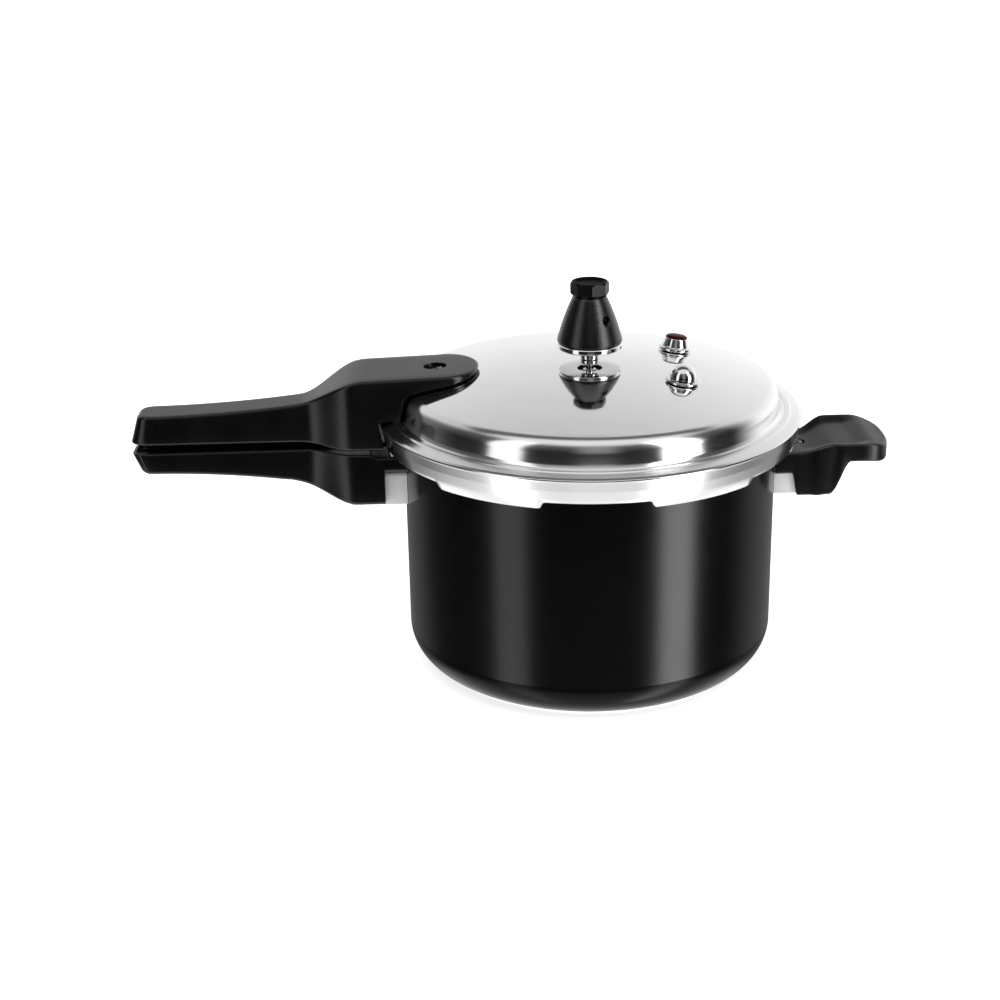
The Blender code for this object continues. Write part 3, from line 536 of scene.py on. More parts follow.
def make_brackets():
    """Folded channels on both sides, with a foot against the wall."""
    half = 17.3
    sheet = 2.0
    low = 94.9
    high = 113.2
    fold = 3.0
    for name, side in (("pot_handle_bracket", -1.0), ("helper_bracket", 1.0)):
        outer = rounded([(-half, low), (-half, high), (half, high), (half, low)], [fold, fold], 6)
        inner = rounded([(half - sheet, low), (half - sheet, high - sheet),
                         (-half + sheet, high - sheet), (-half + sheet, low)],
                        [fold - 1.4, fold - 1.4], 6)
        loop = outer + inner
        start, stop = 99.0 * side, 131.0 * side
        data = bmesh.new()
        near = [data.verts.new((start, y, z)) for y, z in loop]
        far = [data.verts.new((stop, y, z)) for y, z in loop]
        bridge(data, near, far)
        data.faces.new(near)
        data.faces.new(list(reversed(far)))
        item = finish_mesh(name + "_folded", data, [BRACKET_METAL], "pot", [name])
        carve(item, [cylinder(POT_RADIUS + 0.12, 60.0, 125.0, 180)], 0.35)
        foot = bmesh.new()
        rows = []
        steps = 10
        half_angle = math.degrees(math.asin((half - sheet - 0.1) / POT_RADIUS))
        for radius in (POT_RADIUS + 0.1, POT_RADIUS + 2.3):
            for z in (low, high - sheet - 0.1):
                row = []
                for step in range(steps + 1):
                    angle = math.radians(-half_angle + 2.0 * half_angle * step / steps)
                    row.append(foot.verts.new((side * radius * math.cos(angle),
                                               radius * math.sin(angle), z)))
                rows.append(row)
        inner_low, inner_high, outer_low, outer_high = rows
        for first, second in ((inner_low, inner_high), (inner_high, outer_high),
                              (outer_high, outer_low), (outer_low, inner_low)):
            for step in range(steps):
                foot.faces.new((first[step], first[step + 1], second[step + 1], second[step]))
        for step in (0, steps):
            foot.faces.new((inner_low[step], inner_high[step],
                            outer_high[step], outer_low[step]))
        finish_mesh(name + "_foot", foot, [BRACKET_METAL], "pot", [name])


def make_rivets():
    """Two rivets through the pot's wall behind each bracket."""
    for prefix, side in (("pot_handle", -1.0), ("helper", 1.0)):
        for number, y in ((1, -8.5), (2, 8.5)):
            shank = [(0.0, 95.9), (1.6, 96.1), (2.8, 96.6), (3.5, 97.4), (3.6, 98.1),
                     (2.0, 98.2), (2.0, 105.2), (3.6, 105.3), (3.6, 105.8), (3.0, 106.5),
                     (1.6, 107.0), (0.0, 107.1)]
            data = turned(shank, 32, along_x(0.0, y, 102.0, side))
            name = f"{prefix}_rivet_{number}"
            finish_mesh(name + "_domed", data, [STEEL], "pot", [name])


def make_screw(node, body, length, height, matrix):
    """Pan-head screw with a cross recess; its head's underside is at the matrix's origin."""
    shank, head = SCREW_SHANK, SCREW_HEAD
    outline = [(0.0, -length), (shank - 0.5, -length), (shank, -length + 0.6), (shank, 0.0),
               (head, 0.0), (head + 0.05, height * 0.25), (head, height * 0.5),
               (head * 0.9, height * 0.82), (head * 0.72, height), (head * 0.5, height + 0.1),
               (0.0, height + 0.15)]
    item = finish_mesh(node + "_cross", turned(outline, 40, matrix), [BLACK_STEEL], body, [node])
    cutters = []
    for turn in (0.0, 90.0):
        data = box_data((-head * 0.62, -0.45, height - 1.2), (head * 0.62, 0.45, height + 3.0))
        spin = Matrix.Rotation(math.radians(turn + 20.0), 4, "Z")
        bmesh.ops.transform(data, matrix=matrix @ spin, verts=data.verts)
        cutters.append(data)
    carve(item, cutters)


def make_nut(node, body, flats, bore, low, high, matrix):
    """Hex nut whose corners are turned down to a chamfer."""
    corner = flats / 2.0 / math.cos(math.pi / 6.0)

    def hexagon(radius, height, angle):
        local = flats / 2.0 / math.cos((math.degrees(angle) % 60.0 - 30.0) * math.pi / 180.0)
        return (min(local, radius) if radius > bore + 0.01 else radius, height)

    outline = [(bore, low), (corner * 0.93, low), (corner + 0.1, low + 0.55),
               (corner + 0.1, high - 0.1), (corner * 0.98, high), (bore, high)]
    finish_mesh(node + "_hex", turned(outline, 72, matrix, 0.0, hexagon), [STEEL], body, [node])


def make_washer(node, bore, radius, low, high, matrix):
    """Rubber sealing washer under the lid."""
    outline = rounded([(bore, low), (radius, low), (radius, high), (bore, high)], [0.3, 0.3], 3)
    finish_mesh(node + "_ring", turned(outline, 48, matrix), [GASKET], "lid", [node])


def make_pot_fasteners():
    """Screw and nut of each handle on its bracket."""
    for prefix, side, seat in (("pot_handle", -1.0, POT_SCREW_SEAT),
                               ("helper", 1.0, HELPER_SCREW_SEAT)):
        place = Matrix.Translation((side * BRACKET_SCREW_X, 0.0, seat))
        make_screw(prefix + "_screw", "pot", seat - 105.5, 2.2, place)
        place = Matrix.Translation((side * BRACKET_SCREW_X, 0.0, 0.0))
        make_nut(prefix + "_nut", "pot", 8.0, 2.4, 106.9, 110.9, place)


# ------------------------------------------------------------------- handles

def moulded(outline, top, bottom, top_round, bottom_round, columns, lean=None):
    """A moulding from its half plan outline, with rounded upper and lower edges.

    outline runs from one end to the other on the +Y side; top(x, y) and
    bottom(x, y) are heights; lean(x, share) shifts a point along X by its
    height share. Top faces get material 1, all others material 0.
    """
    count = len(outline)
    normals = []
    for index in range(count):
        x, y = outline[index]
        before = outline[index - 1] if index > 0 else (x, -y)
        after = outline[index + 1] if index + 1 < count else (x, -y)
        along = Vector((after[0] - before[0], after[1] - before[1]))
        if index in (0, count - 1):
            here = Vector((x, y))
            along = (here - Vector(before)).normalized() + (Vector(after) - here).normalized()
        along.normalize()
        normals.append(Vector((-along.y, along.x)))
    if sum(normal.y for normal in normals) < 0.0:
        normals = [-normal for normal in normals]
    steps = 5
    data = bmesh.new()
    rings = []
    turns = [math.pi / 2.0 * step / steps for step in range(steps + 1)]
    levels = [(bottom_round * (1.0 - math.sin(angle)), bottom_round * (1.0 - math.cos(angle)),
               "low") for angle in turns]
    levels += [(top_round * (1.0 - math.cos(angle)), top_round * (1.0 - math.sin(angle)),
                "high") for angle in turns]

    def place(x, y, height):
        if lean is None:
            return (x, y, height)
        low, high = bottom(x, y), top(x, y)
        return (x + lean(x, (high - height) / (high - low)), y, height)

    for inset, rise, side in levels:
        right = []
        left = []
        for (x, y), normal in zip(outline, normals):
            px = x - normal.x * inset
            py = max(y - normal.y * inset, 0.05)
            height = bottom(px, py) + rise if side == "low" else top(px, py) - rise
            right.append(data.verts.new(place(px, py, height)))
            left.append(data.verts.new(place(px, -py, height)))
        rings.append((right, left))
    for (right_a, left_a), (right_b, left_b) in zip(rings, rings[1:]):
        bridge(data, right_a + left_a[::-1], right_b + left_b[::-1])
    for (right, left), surface in ((rings[0], bottom), (rings[-1], top)):
        rows = []
        for start, stop in zip(right, left):
            row = [start]
            for column in range(1, columns):
                point = start.co.lerp(stop.co, column / columns)
                row.append(data.verts.new((point.x, point.y, surface(point.x, point.y))))
            row.append(stop)
            rows.append(row)
        for row_a, row_b in zip(rows, rows[1:]):
            for column in range(columns):
                face = data.faces.new((row_a[column], row_a[column + 1],
                                       row_b[column + 1], row_b[column]))
                face.material_index = 1 if surface is top else 0
    return data


def spaced(start, stop, step):
    """Even stations from start to stop, about a step apart."""
    count = max(1, int(round(abs(stop - start) / step)))
    return [start + (stop - start) * index / count for index in range(count + 1)]


def long_half_width(x):
    """Half width of both long handles: a wide head that flares down to the grip."""
    return blend(-127.0, -155.0, HEAD_HALF, GRIP_HALF, x)


def grip_end_outline(end_x):
    """From the straight grip round to the end, on the +Y side."""
    return arc(end_x + GRIP_END_RADIUS, GRIP_HALF - GRIP_END_RADIUS, GRIP_END_RADIUS,
               90.0, 180.0, 8)


def handle_flare():
    """Half outline of a long handle from its head to its grip, on the +Y side."""
    stations = spaced(-129.0, -156.0, 1.2) + spaced(-159.0, -236.0, 4.0)
    return [(x, long_half_width(x)) for x in stations]


def pot_clearance():
    """The pot with room to spare, cut away from what stands against it."""
    return cylinder(POT_RADIUS + 0.45, 60.0, 127.0, 180)


def seat_cutters(x, seat, hole_top):
    """Recess for a screw's head down to its seat, and the hole under it."""
    place = Matrix.Translation((x, 0.0, 0.0))
    return [cylinder(5.0, seat, 150.0, 48, place), cylinder(2.5, 105.0, hole_top, 32, place)]


def make_lid_handle():
    """Upper long handle: the moulding, and a lip inside it that stands closer to the lid."""
    def top(x, y=0.0):
        head = 168.4 + 2.3 * (x + 60.0) / 64.0
        grip = 145.5 + 4.9 * (max(0.0, x + 245.0) / 85.0) ** 2
        return head + (grip - head) * smooth_step(-122.0, -158.0, x)

    def bottom(x, y=0.0):
        return blend(-138.0, -160.0, 127.5, 129.2, x)

    def lean(x, share):
        return -6.2 * share * (1.0 - smooth_step(-248.0, -232.0, x))

    tip_centre = -79.0
    reach = LID_HANDLE_TIP_X - tip_centre
    outline = []
    for step in range(17):
        angle = math.radians(3.0 + 87.0 * step / 16)
        outline.append((tip_centre + reach * math.cos(angle), HEAD_HALF * math.sin(angle)))
    outline += [(x, long_half_width(x)) for x in spaced(-81.0, -128.0, 4.0)]
    outline += handle_flare() + grip_end_outline(-243.2)[1:]
    frame_here = dome_frame(LID_SCREW_RADIUS, 180.0)
    for name, inset, clear in (("lid_handle_moulding", 0.0, 2.3), ("lid_handle_lip", 0.55, 1.0)):
        drawn = [(x - (inset if x > tip_centre else 0.0), max(y - inset, 0.3))
                 for x, y in outline]
        lower = (lambda x, y=0.0, lift=inset: bottom(x, y) + lift)
        upper = (lambda x, y=0.0, drop=inset: top(x, y) - drop)
        if inset > 0.0:
            drawn = [point for point in drawn if point[0] > -150.0]
        data = moulded(drawn, upper, lower, 1.7, 1.9, 8, lean)
        item = finish_mesh(name, data, [HANDLE, HANDLE_TOP], "lid", ["lid_handle"])
        lid_space = [(0.0, 110.0), (112.6 + clear / 4, 122.0), (115.8 + clear / 4, 139.0),
                     (116.6, 142.0), (116.2, FLANGE_Z + clear),
                     (SHOULDER_WALL + 1.6 + clear, FLANGE_Z + clear)]
        lid_space += list(reversed(dome_outline(clear, 20.0, 10, 12)))
        lid_space += [(0.0, DOME_TOP_Z + clear)]
        recess = turned([(0.0, 3.1), (5.9, 3.1), (6.1, 5.0), (7.0, 14.0), (0.0, 14.0)], 48,
                        frame_here)
        hole = cylinder(2.6, -2.0, 5.0, 32, frame_here)
        carve(item, [turned(lid_space, 180), recess, hole], 0.45)


def make_pot_handle():
    """Lower long handle, with a channel in its top and a pocket for its bracket."""
    def top(x, y=0.0):
        return 124.6 + (x + 240.0) / 190.0 - blend(-121.0, -116.0, 0.0, 2.1, x)

    def bottom(x, y=0.0):
        if x < -167.0:
            return 113.0 - (5.0 * ((x + 240.0) / 73.0) ** 2 if x > -240.0 else 0.0)
        if x > -112.4:
            return 115.0
        return blend(-128.0, -167.0, 96.6, 108.0, x)

    def lean(x, share):
        return 4.8 * share * (1.0 - smooth_step(-248.0, -232.0, x))

    outline = [(-98.0, HEAD_HALF), (-105.0, HEAD_HALF), (-112.3, HEAD_HALF), (-112.5, HEAD_HALF)]
    outline += [(x, long_half_width(x)) for x in spaced(-114.0, -128.0, 2.0)]
    outline += handle_flare() + grip_end_outline(-247.8)[1:]
    data = moulded(outline, top, bottom, 0.9, 2.2, 8, lean)
    item = finish_mesh("pot_handle_moulding", data, [HANDLE, HANDLE_TOP], "pot", ["pot_handle"])
    hollow = [(x, y - 1.7) for x, y in outline if -240.6 < x < -118.0]
    hollow += arc(-240.8, 4.3, 5.0, 90.0, 180.0, 6)

    def above(x, y=0.0):
        return 130.0

    def channel_floor(x, y=0.0):
        return top(x) - blend(-246.0, -234.0, 3.0, 5.6, x)

    channel = moulded(hollow, above, channel_floor, 0.1, 0.5, 4)
    pocket = box_data((-131.3, -17.6, 80.0), (-100.0, 17.6, 113.5))
    carve(item, [pot_clearance(), channel, pocket] + seat_cutters(-BRACKET_SCREW_X, 119.3, 121.0),
          0.4)


def make_helper_handle():
    """Short handle: a foot over the bracket and a dished wing with a rounded outer end."""
    end_x = HELPER_HIGH.x
    centre = 145.5
    rest_z = 93.9

    def half_width(x):
        flare = blend(119.0, 137.0, 19.6, HELPER_HIGH.y, x)
        if x <= centre:
            return flare
        share = min(1.0, (x - centre) / (end_x - centre))
        return flare * max(0.0, 1.0 - share ** 2.9) ** (1.0 / 2.7)

    def top(x, y=0.0):
        level = blend(115.5, 134.5, 119.1, 125.6, x) - 2.2 * smooth_step(150.0, end_x, x)
        edge = half_width(min(x, end_x - 0.5)) - abs(y)
        inside = min(1.0, max(0.0, edge - 1.2) / 7.0) * smooth_step(113.0, 128.0, x)
        return level - 2.5 * inside * (1.0 - smooth_step(143.0, 155.0, x))

    def bottom(x, y=0.0):
        if x < 124.0:
            return blend(110.4, 113.6, 106.9, rest_z, x)
        foot_end = rest_z + 2.0 * smooth_step(123.0, 131.5, x)
        return foot_end + 19.5 * smooth_step(130.2, 141.3, x) - blend(148.0, end_x, 0.0, 2.0, x)

    outline = [(x, half_width(x)) for x in spaced(98.0, 108.0, 5.0) + spaced(108.8, centre, 0.9)]
    for step in range(1, 25):
        angle = math.pi / 2.0 * step / 24
        x = centre + (end_x - centre) * math.sin(angle) ** 0.92
        y = half_width(x) if step < 24 else 0.0
        outline.append((x, max(y, 0.6)))
    data = moulded(outline, top, bottom, 1.5, 1.4, 22)
    item = finish_mesh("helper_handle_moulding", data, [HELPER_PLASTIC, HELPER_TOP], "pot",
                       ["helper_handle"])
    pocket = box_data((90.0, -17.6, 80.0), (131.3, 17.6, 113.5))
    carve(item, [pot_clearance(), pocket] + seat_cutters(BRACKET_SCREW_X, 116.6, 118.0), 0.4)


# ----------------------------------------------------------------------- lid

def dome_outline(offset, start_radius, steps, arc_steps):
    """Dome and shoulder from the middle outwards, offset along the normal."""
    centre_radius = SHOULDER_WALL - SHOULDER_RADIUS
    reach = DOME_RADIUS - SHOULDER_RADIUS
    centre_z = DOME_TOP_Z - DOME_RADIUS + math.sqrt(reach ** 2 - centre_radius ** 2)
    tangent = math.degrees(math.acos(centre_radius / reach))
    radius = DOME_RADIUS + offset
    begin = math.degrees(math.acos(start_radius / radius))
    points = arc(0.0, DOME_TOP_Z - DOME_RADIUS, radius, begin, tangent, steps)
    shoulder = arc(centre_radius, centre_z, SHOULDER_RADIUS + offset, tangent, 0.0, arc_steps)
    return points + shoulder[1:]


def make_lid_shell():
    """Polished dome, shoulder, stepped flange and a brushed skirt with bayonet lugs."""
    dome_steps = 24
    outer = [(0.0, DOME_TOP_Z)] + dome_outline(0.0, 6.0, dome_steps, 22)
    rim = rounded([(SHOULDER_WALL, 150.3), (SHOULDER_WALL + 0.5, 145.6),
                   (SHOULDER_WALL + 1.9, 143.6), (106.2, 143.3), (106.9, 144.0), (109.0, 144.0),
                   (109.8, 143.3), (113.9, 142.4), (115.8, 141.6), (115.3, 140.2),
                   (114.25, 135.4), (112.9, 130.3)],
                  [2.0, 1.4, 0.4, 0.5, 0.5, 0.5, 1.0, 1.3, 0.6, 8.0], 5)
    dome_count = len(outer)
    states = [(point, point) for point in outer + rim[1:]]
    lower = [((111.5, LUG_BOTTOM_Z + 0.6), (112.5, NOTCH_Z + 0.6)),
             ((110.9, LUG_BOTTOM_Z), (111.9, NOTCH_Z)),
             ((105.8, LUG_BOTTOM_Z), (109.9, NOTCH_Z)),
             ((105.2, LUG_BOTTOM_Z + 0.6), (109.3, NOTCH_Z + 0.3)),
             ((105.2, LUG_BOTTOM_Z + 2.7), (109.25, NOTCH_Z + 0.5)),
             ((105.7, LUG_BOTTOM_Z + 3.2), (109.2, NOTCH_Z + 0.7)),
             ((109.0, LUG_BOTTOM_Z + 3.2), (109.3, NOTCH_Z + 1.0))]
    states += lower
    inner = [(111.6, 140.3), (99.9, 140.3)]
    inner += list(reversed(dome_outline(-3.0, 6.0, 16, 10))) + [(0.0, 167.0)]
    states += [(point, point) for point in inner]
    steps = 480
    data = bmesh.new()
    rings = []
    for lug_point, gap_point in states:
        if lug_point[0] == 0.0:
            rings.append([data.verts.new((0.0, 0.0, lug_point[1]))])
            continue
        ring = []
        for index in range(steps):
            azimuth = 360.0 * index / steps
            share = lug_share(azimuth, LID_LUG_WIDTH, 1.3)
            radius = gap_point[0] + (lug_point[0] - gap_point[0]) * share
            height = gap_point[1] + (lug_point[1] - gap_point[1]) * share
            ring.append(data.verts.new(on_circle(radius, azimuth, height)))
        rings.append(ring)
    dome, shoulder, skirt = 0, 1, 2
    skirt_points = 14
    skirt_start = dome_count + len(rim) - skirt_points
    for index, (ring_a, ring_b) in enumerate(zip(rings, rings[1:])):
        if len(ring_a) > 1 or len(ring_b) > 1:
            finish = skirt if index >= skirt_start else (shoulder if index > dome_steps else dome)
            bridge(data, ring_a, ring_b, finish)
    finish_mesh("lid_shell_turned", data, [DOME_METAL, SHOULDER_METAL, SKIRT_METAL], "lid",
                ["lid_shell"], 40.0)


def make_gasket():
    """Sealing ring in the lid's channel, with a groove in its upper face."""
    low, high = node_box("lid_gasket")
    outline = [(99.6, low.z), (107.8, low.z), (108.4, low.z + 0.5), (108.4, high.z - 0.5),
               (107.8, high.z), (104.2, high.z), (103.6, high.z - 0.7), (103.0, high.z),
               (99.6, high.z), (98.8, high.z - 0.8), (98.8, low.z + 0.8)]
    finish_mesh("lid_gasket_ring", turned(outline, 180), [GASKET], "lid", ["lid_gasket"])


def make_lid_fasteners():
    """Screw of the upper long handle, with its washer and nut under the lid."""
    place = dome_frame(LID_SCREW_RADIUS, 180.0)
    make_screw("lid_handle_screw", "lid", 13.4, 1.6, place @ Matrix.Translation((0.0, 0.0, 3.3)))
    make_washer("lid_handle_washer", 2.5, 6.0, -4.8, -3.4, place)
    make_nut("lid_handle_nut", "lid", 8.0, 2.45, -9.2, -5.1, place)


def make_vent_pipe():
    """Steam pipe under the weight: flange, neck and tapered end, bored through."""
    top = DOME_TOP_Z
    corners = [(3.3, top - 12.0), (3.3, top + 0.3), (5.2, top + 0.3), (5.2, top + 2.4),
               (2.3, top + 2.6), (2.3, top + 6.6), (3.8, top + 7.2), (3.8, top + 11.0),
               (3.3, top + 12.0), (3.3, top + 20.2), (2.2, top + 22.3), (1.4, top + 22.3)]
    outline = rounded(corners, [0.0, 0.25, 0.4, 0.4, 0.4, 0.5, 0.4, 0.4, 0.4, 0.6, 0.4], 4)
    outline += [(1.4, top - 12.0)]
    finish_mesh("vent_pipe_turned", turned(outline, 56), [CHROME], "lid", ["vent_pipe"])
    place = Matrix.Translation((0.0, 0.0, top - 3.0))
    make_washer("vent_pipe_washer", 3.6, 7.0, -1.7, -0.3, place)
    make_nut("vent_pipe_nut", "lid", 11.0, 3.6, -6.2, -2.0, place)


def make_safety_plug():
    """Bright ferrule with its nut, and the red plug that rises in it."""
    place = dome_frame(SAFETY_PLUG_RADIUS, SAFETY_PLUG_AZIMUTH)
    corners = [(3.2, -9.5), (4.7, -9.5), (4.7, 0.4), (8.9, 0.4), (9.3, 0.9), (9.2, 1.8),
               (8.5, 2.3), (7.7, 2.4), (7.6, 3.2), (6.3, 7.2), (3.2, 7.2)]
    outline = rounded(corners, [0.2, 0.2, 0.2, 0.3, 0.3, 0.4, 0.4, 0.5, 0.4], 4)
    finish_mesh("safety_plug_ferrule", turned(outline, 72, place), [CHROME], "lid",
                ["safety_plug_housing"])
    make_nut("safety_plug_nut", "lid", VALVE_NUT_FLATS, 5.0, -7.6, -3.4, place)
    cap = [(0.0, -10.2), (2.4, -10.2), (2.85, -9.4), (2.85, 7.5), (5.85, 7.5), (6.1, 7.65),
           (6.05, 7.85)]
    cap += [(5.85 * math.cos(math.radians(a)), 7.9 + 1.3 * math.sin(math.radians(a)))
            for a in range(10, 90, 10)]
    cap += [(0.0, 9.2)]
    finish_mesh("safety_plug_cap", turned(cap, 56, place), [RED], "safety_plug",
                ["safety_plug"])


def make_relief_valve():
    """Domed valve: seat, nut, closed cap, and the pin and spring inside."""
    place = dome_frame(RELIEF_VALVE_RADIUS, RELIEF_VALVE_AZIMUTH)
    corners = [(2.0, -9.5), (4.7, -9.5), (4.7, 0.4), (8.9, 0.4), (9.4, 0.9), (9.3, 1.5),
               (8.6, 1.8), (5.0, 1.8), (4.6, 3.4), (2.0, 3.4)]
    outline = rounded(corners, [0.2, 0.2, 0.2, 0.3, 0.3, 0.3, 0.3, 0.3], 4)
    finish_mesh("relief_valve_seat_turned", turned(outline, 72, place), [CHROME], "lid",
                ["relief_valve_seat"])
    make_nut("relief_valve_nut", "lid", VALVE_NUT_FLATS, 5.0, -7.6, -3.4, place)
    start, rise, radius, wall = 3.0, 6.2, 7.1, 1.0
    shell = [(radius - 0.4, 2.1), (radius, 2.4), (radius, start)]
    shell += [(radius * math.cos(math.radians(a)), start + rise * math.sin(math.radians(a)))
              for a in range(7, 90, 7)]
    shell += [(0.0, start + rise), (0.0, start + rise - wall)]
    shell += [((radius - wall) * math.cos(math.radians(a)),
               start + (rise - wall) * math.sin(math.radians(a))) for a in range(84, -1, -12)]
    shell += [(radius - wall, 2.4), (radius - wall + 0.2, 2.1)]
    finish_mesh("relief_valve_dome", turned(shell, 72, place), [CHROME], "lid",
                ["relief_valve_cap"])
    pin = [(0.0, -8.5), (1.1, -8.5), (1.5, -8.0), (1.5, 3.7), (2.8, 3.7), (3.0, 3.9),
           (3.0, 4.3), (2.8, 4.5), (1.0, 4.5), (1.0, 5.8), (0.8, 6.0), (0.0, 6.0)]
    finish_mesh("relief_valve_pin_turned", turned(pin, 32, place), [STEEL], "relief_valve_pin",
                ["relief_valve_pin"])
    coil = bmesh.new()
    turns, per_turn, sides = 3, 28, 10
    coil_radius, wire_radius = 2.1, 0.3
    coil_low, coil_rise = 4.95, 2.35
    rings = []
    for step in range(turns * per_turn + 1):
        angle = 2.0 * math.pi * step / per_turn
        height = coil_low + coil_rise * step / (turns * per_turn)
        outward = Vector((math.cos(angle), math.sin(angle), 0.0))
        centre = outward * coil_radius + Vector((0.0, 0.0, height))
        ring = []
        for side in range(sides):
            around = 2.0 * math.pi * side / sides
            offset = outward * math.cos(around) + Vector((0.0, 0.0, math.sin(around)))
            ring.append(coil.verts.new(place @ (centre + offset * wire_radius)))
        rings.append(ring)
    for ring_a, ring_b in zip(rings, rings[1:]):
        bridge(coil, ring_a, ring_b)
    coil.faces.new(rings[0])
    coil.faces.new(list(reversed(rings[-1])))
    item = finish_mesh("relief_valve_spring_coil", coil, [STEEL], "lid",
                       ["relief_valve_spring"])
    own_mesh(item)


# -------------------------------------------------------------------- weight

def make_weight():
    """Regulator weight: steel core, bakelite cone with its steam hole, and eight-sided cap."""
    base = WEIGHT_BASE_Z
    core_low = rounded([(7.0, base + 6.2), (7.0, base), (17.3, base), (17.8, base + 0.6),
                        (17.8, base + 2.5), (17.1, base + 3.1), (9.8, base + 3.1),
                        (7.9, base + 25.2)],
                       [0.5, 0.4, 0.4, 0.4, 0.4, 0.3], 4)
    core = [(0.0, base + 16.5), (4.0, base + 16.5), (4.0, base + 7.6)] + core_low
    core += [(2.6, base + 25.2), (2.6, base + 33.6), (0.0, base + 33.6)]
    finish_mesh("weight_core_turned", turned(core, 96), [CHROME], "regulator_weight",
                ["weight_core"])

    foot = base + 3.4
    top = base + 28.8
    outer = [(16.6, foot), (17.3, foot + 0.2), (17.6, foot + 0.7)]
    steps = 14
    foot_radius, top_radius, bulge = 17.65, 9.1, 2.8
    for step in range(steps + 1):
        share = step / steps
        radius = foot_radius + (top_radius - foot_radius) * share + bulge * share * (1.0 - share)
        outer.append((radius, foot + 1.3 + (top - 0.3 - foot - 1.3) * share))
    outer += [(8.8, top), (2.9, top)]
    inner = [(2.9, base + 25.5), (8.25, base + 25.5), (10.15, foot)]
    item = finish_mesh("weight_shroud_moulding", turned(outer + inner, 128), [WEIGHT_PLASTIC],
                       "regulator_weight", ["weight_shroud"])
    turn = Matrix.Rotation(math.radians(WEIGHT_HOLE_AZIMUTH), 4, "Z")
    hole = turned([(0.0, 8.0), (2.15, 8.0), (2.15, 12.8), (3.4, 15.2), (0.0, 15.2)], 40,
                  turn @ along_x(0.0, 0.0, base + 17.5))
    carve(item, [hole], 0.3, 30.0)

    cap_low, cap_high = node_box("weight_cap")
    low = cap_low.z
    rise = cap_high.z - low
    flat = 9.75

    def octagon(radius, height, angle):
        local = (math.degrees(angle) - 3.0) % 45.0 - 22.5
        limit = flat / math.cos(math.radians(local))
        return (min(limit, radius) if radius > 9.3 else radius, height)

    cap = rounded([(3.0, low), (9.2, low), (10.5, low + 1.3), (10.55, low + 6.6), (9.5, low + rise),
                   (8.9, low + rise - 0.05), (7.6, low + rise - 1.3), (3.5, low + rise - 1.5)],
                  [0.2, 0.5, 0.4, 0.5, 0.3, 0.5], 3)
    cap = [(0.0, low + 4.8), (2.95, low + 4.8)] + cap + [(0.0, low + rise - 1.5)]
    data = turned(cap, 96, None, 3.0, octagon)
    data.normal_update()
    for face in data.faces:
        if abs(face.normal.z) > 0.5 and face.calc_center_median().z > (low + rise - 2.5) * MM:
            face.material_index = 1
    finish_mesh("weight_cap_octagon", data, [HANDLE_TOP, CAP_PLASTIC], "regulator_weight",
                ["weight_cap"], 14.0)


# --------------------------------------------------------------------- stage

def make_stage():
    """White floor that reads as plain white, with only a soft contact shadow."""
    data = bmesh.new()
    bmesh.ops.create_grid(data, x_segments=2, y_segments=2, size=6000.0)
    for vertex in data.verts:
        vertex.co.z = -0.15
    floor = finish_mesh("studio_floor", data, [], None, ())
    material, graph, shader = new_material("studio_floor_white")
    shader.inputs["Base Color"].default_value = (0.85, 0.85, 0.85, 1.0)
    shader.inputs["Roughness"].default_value = 0.9
    shader.inputs["Specular IOR Level"].default_value = 0.0
    shader.inputs["Emission Color"].default_value = (1.0, 1.0, 1.0, 1.0)
    shader.inputs["Emission Strength"].default_value = 0.76
    floor.data.materials.append(material)
    floor.visible_glossy = False


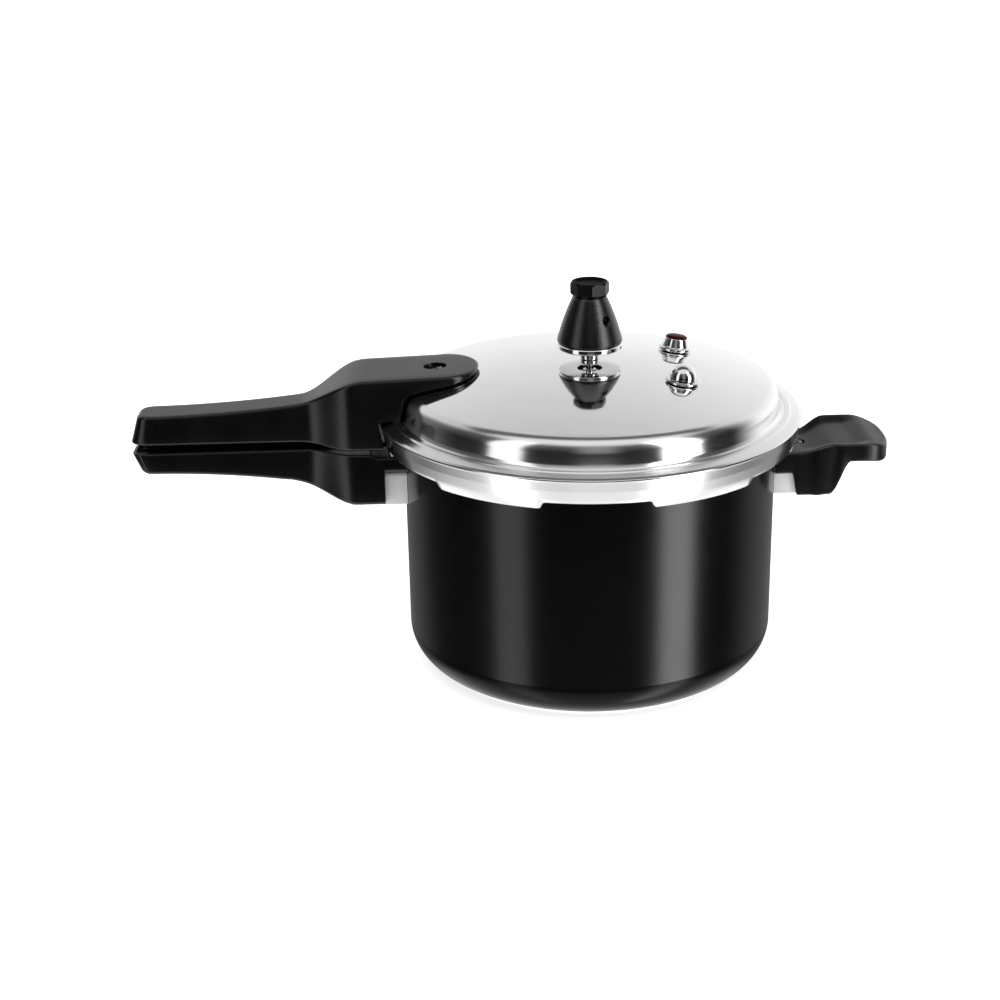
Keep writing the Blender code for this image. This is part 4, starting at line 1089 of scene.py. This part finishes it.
def make_world():
    """Studio surroundings as reflections see them.

    A white sweep behind, a dark room in front with a dim strip in it, a bright
    floor nearby, a softbox overhead, and an upright strip on either side. The
    camera itself sees plain white.
    """
    world = bpy.data.worlds.new("studio")
    bpy.context.scene.world = world
    world.use_nodes = True
    tree = world.node_tree
    graph = Graph(tree)
    background = tree.nodes["Background"]
    x, y, z = graph.split(graph.node("ShaderNodeTexCoord").outputs["Generated"])
    elevation = graph.times(graph.math("ARCSINE", z), 180.0 / math.pi)
    azimuth = graph.times(graph.math("ARCTAN2", y, x), 180.0 / math.pi)
    flat = graph.length(x, y)
    back = graph.math("DIVIDE", y, graph.math("MAXIMUM", flat, 0.001))

    overhead_level, floor_level = 0.80, 0.98
    left_level, right_level, front_strip_level = 1.25, 4.3, 0.20

    def band(value, low, high, soft):
        rising = graph.ramp(value, low - soft, low + soft)
        falling = graph.ramp(value, high - soft, high + soft, 1.0, 0.0)
        return graph.times(rising, falling)

    sweep_side = graph.times(graph.ramp(back, -0.05, 0.5),
                            graph.ramp(x, -0.86, -0.62, 0.15, 1.0))
    sweep_height = graph.times(graph.ramp(elevation, 46.0, 54.0, 1.0, 0.0),
                              graph.ramp(elevation, -20.0, -11.0, 0.22, 1.0))
    sweep_tone = graph.times(graph.ramp(elevation, 4.0, 44.0, 0.95, 0.54, "LINEAR"),
                            graph.ramp(x, 0.0, 0.5, 1.0, 1.2, "LINEAR"))
    sweep = graph.times(graph.times(sweep_side, sweep_height), sweep_tone)

    over_front = graph.times(y, -1.0)
    overhead = graph.times(graph.ramp(z, 0.66, 0.90), graph.ramp(over_front, -0.18, -0.05))
    overhead = graph.times(overhead, overhead_level)

    front_dark = graph.ramp(elevation, 0.0, 50.0, 0.014, 0.10, "LINEAR")
    near_floor = graph.times(graph.ramp(elevation, -46.0, -33.0, 1.0, 0.0), floor_level)

    tall = graph.ramp(elevation, 46.0, 62.0, 1.0, 0.0)
    low_end = graph.ramp(elevation, -78.0, -66.0)
    upright = graph.times(tall, low_end)
    left = graph.times(band(azimuth, -155.0, -134.0, 2.0), upright)
    left = graph.times(left, left_level)
    right = graph.times(band(azimuth, -50.0, -28.0, 3.5), upright)
    right = graph.times(right, right_level)

    front_strip = graph.times(band(azimuth, -101.0, -79.0, 7.0),
                             band(elevation, -4.0, 44.0, 8.0))
    front_strip = graph.times(front_strip, front_strip_level)

    total = graph.plus(sweep, overhead)
    for part in (front_dark, near_floor, left, right, front_strip):
        total = graph.plus(total, part)
    seen = graph.node("ShaderNodeLightPath").outputs["Is Camera Ray"]
    mixed = graph.node("ShaderNodeMix", data_type="FLOAT")
    graph.link(seen, mixed.inputs[0])
    graph.link(total, mixed.inputs[2])
    mixed.inputs[3].default_value = 1.0
    graph.link(mixed.outputs[0], background.inputs["Strength"])
    background.inputs["Color"].default_value = (1.0, 1.0, 1.0, 1.0)


def make_light():
    """Broad overhead softbox; it lights the object but isn't mirrored by it."""
    light = bpy.data.lights.new("overhead_softbox", "AREA")
    light.shape = "RECTANGLE"
    light.size = 1.8
    light.size_y = 1.8
    light.energy = 14.0
    item = bpy.data.objects.new("overhead_softbox", light)
    bpy.context.scene.collection.objects.link(item)
    item.location = (0.0, -0.1, 1.8)
    direction = Vector((0.0, 0.0, 0.1)) - Vector((0.0, -0.1, 1.8))
    item.rotation_euler = direction.to_track_quat("-Z", "Y").to_euler()
    item.visible_camera = False
    item.visible_glossy = False


def make_camera():
    camera = bpy.data.cameras.new("photo_view")
    camera.sensor_width = 36.0
    camera.lens = 64.29
    camera.shift_x = -0.0897
    camera.shift_y = 0.0121
    camera.clip_end = 50.0
    item = bpy.data.objects.new("photo_view", camera)
    bpy.context.scene.collection.objects.link(item)
    item.location = (-0.0731, -0.9293, 0.4473)
    aim = Vector((0.0, 0.0, 0.0801)) - item.location
    item.rotation_euler = aim.to_track_quat("-Z", "Y").to_euler()
    bpy.context.scene.camera = item


make_camera()
make_world()
make_stage()
make_light()

make_pot()
make_brackets()
make_rivets()
make_pot_fasteners()
make_pot_handle()
make_helper_handle()
make_lid_shell()
make_gasket()
make_lid_handle()
make_lid_fasteners()
make_vent_pipe()
make_safety_plug()
make_relief_valve()
make_weight()

bpy.context.scene.view_settings.view_transform = "Standard"
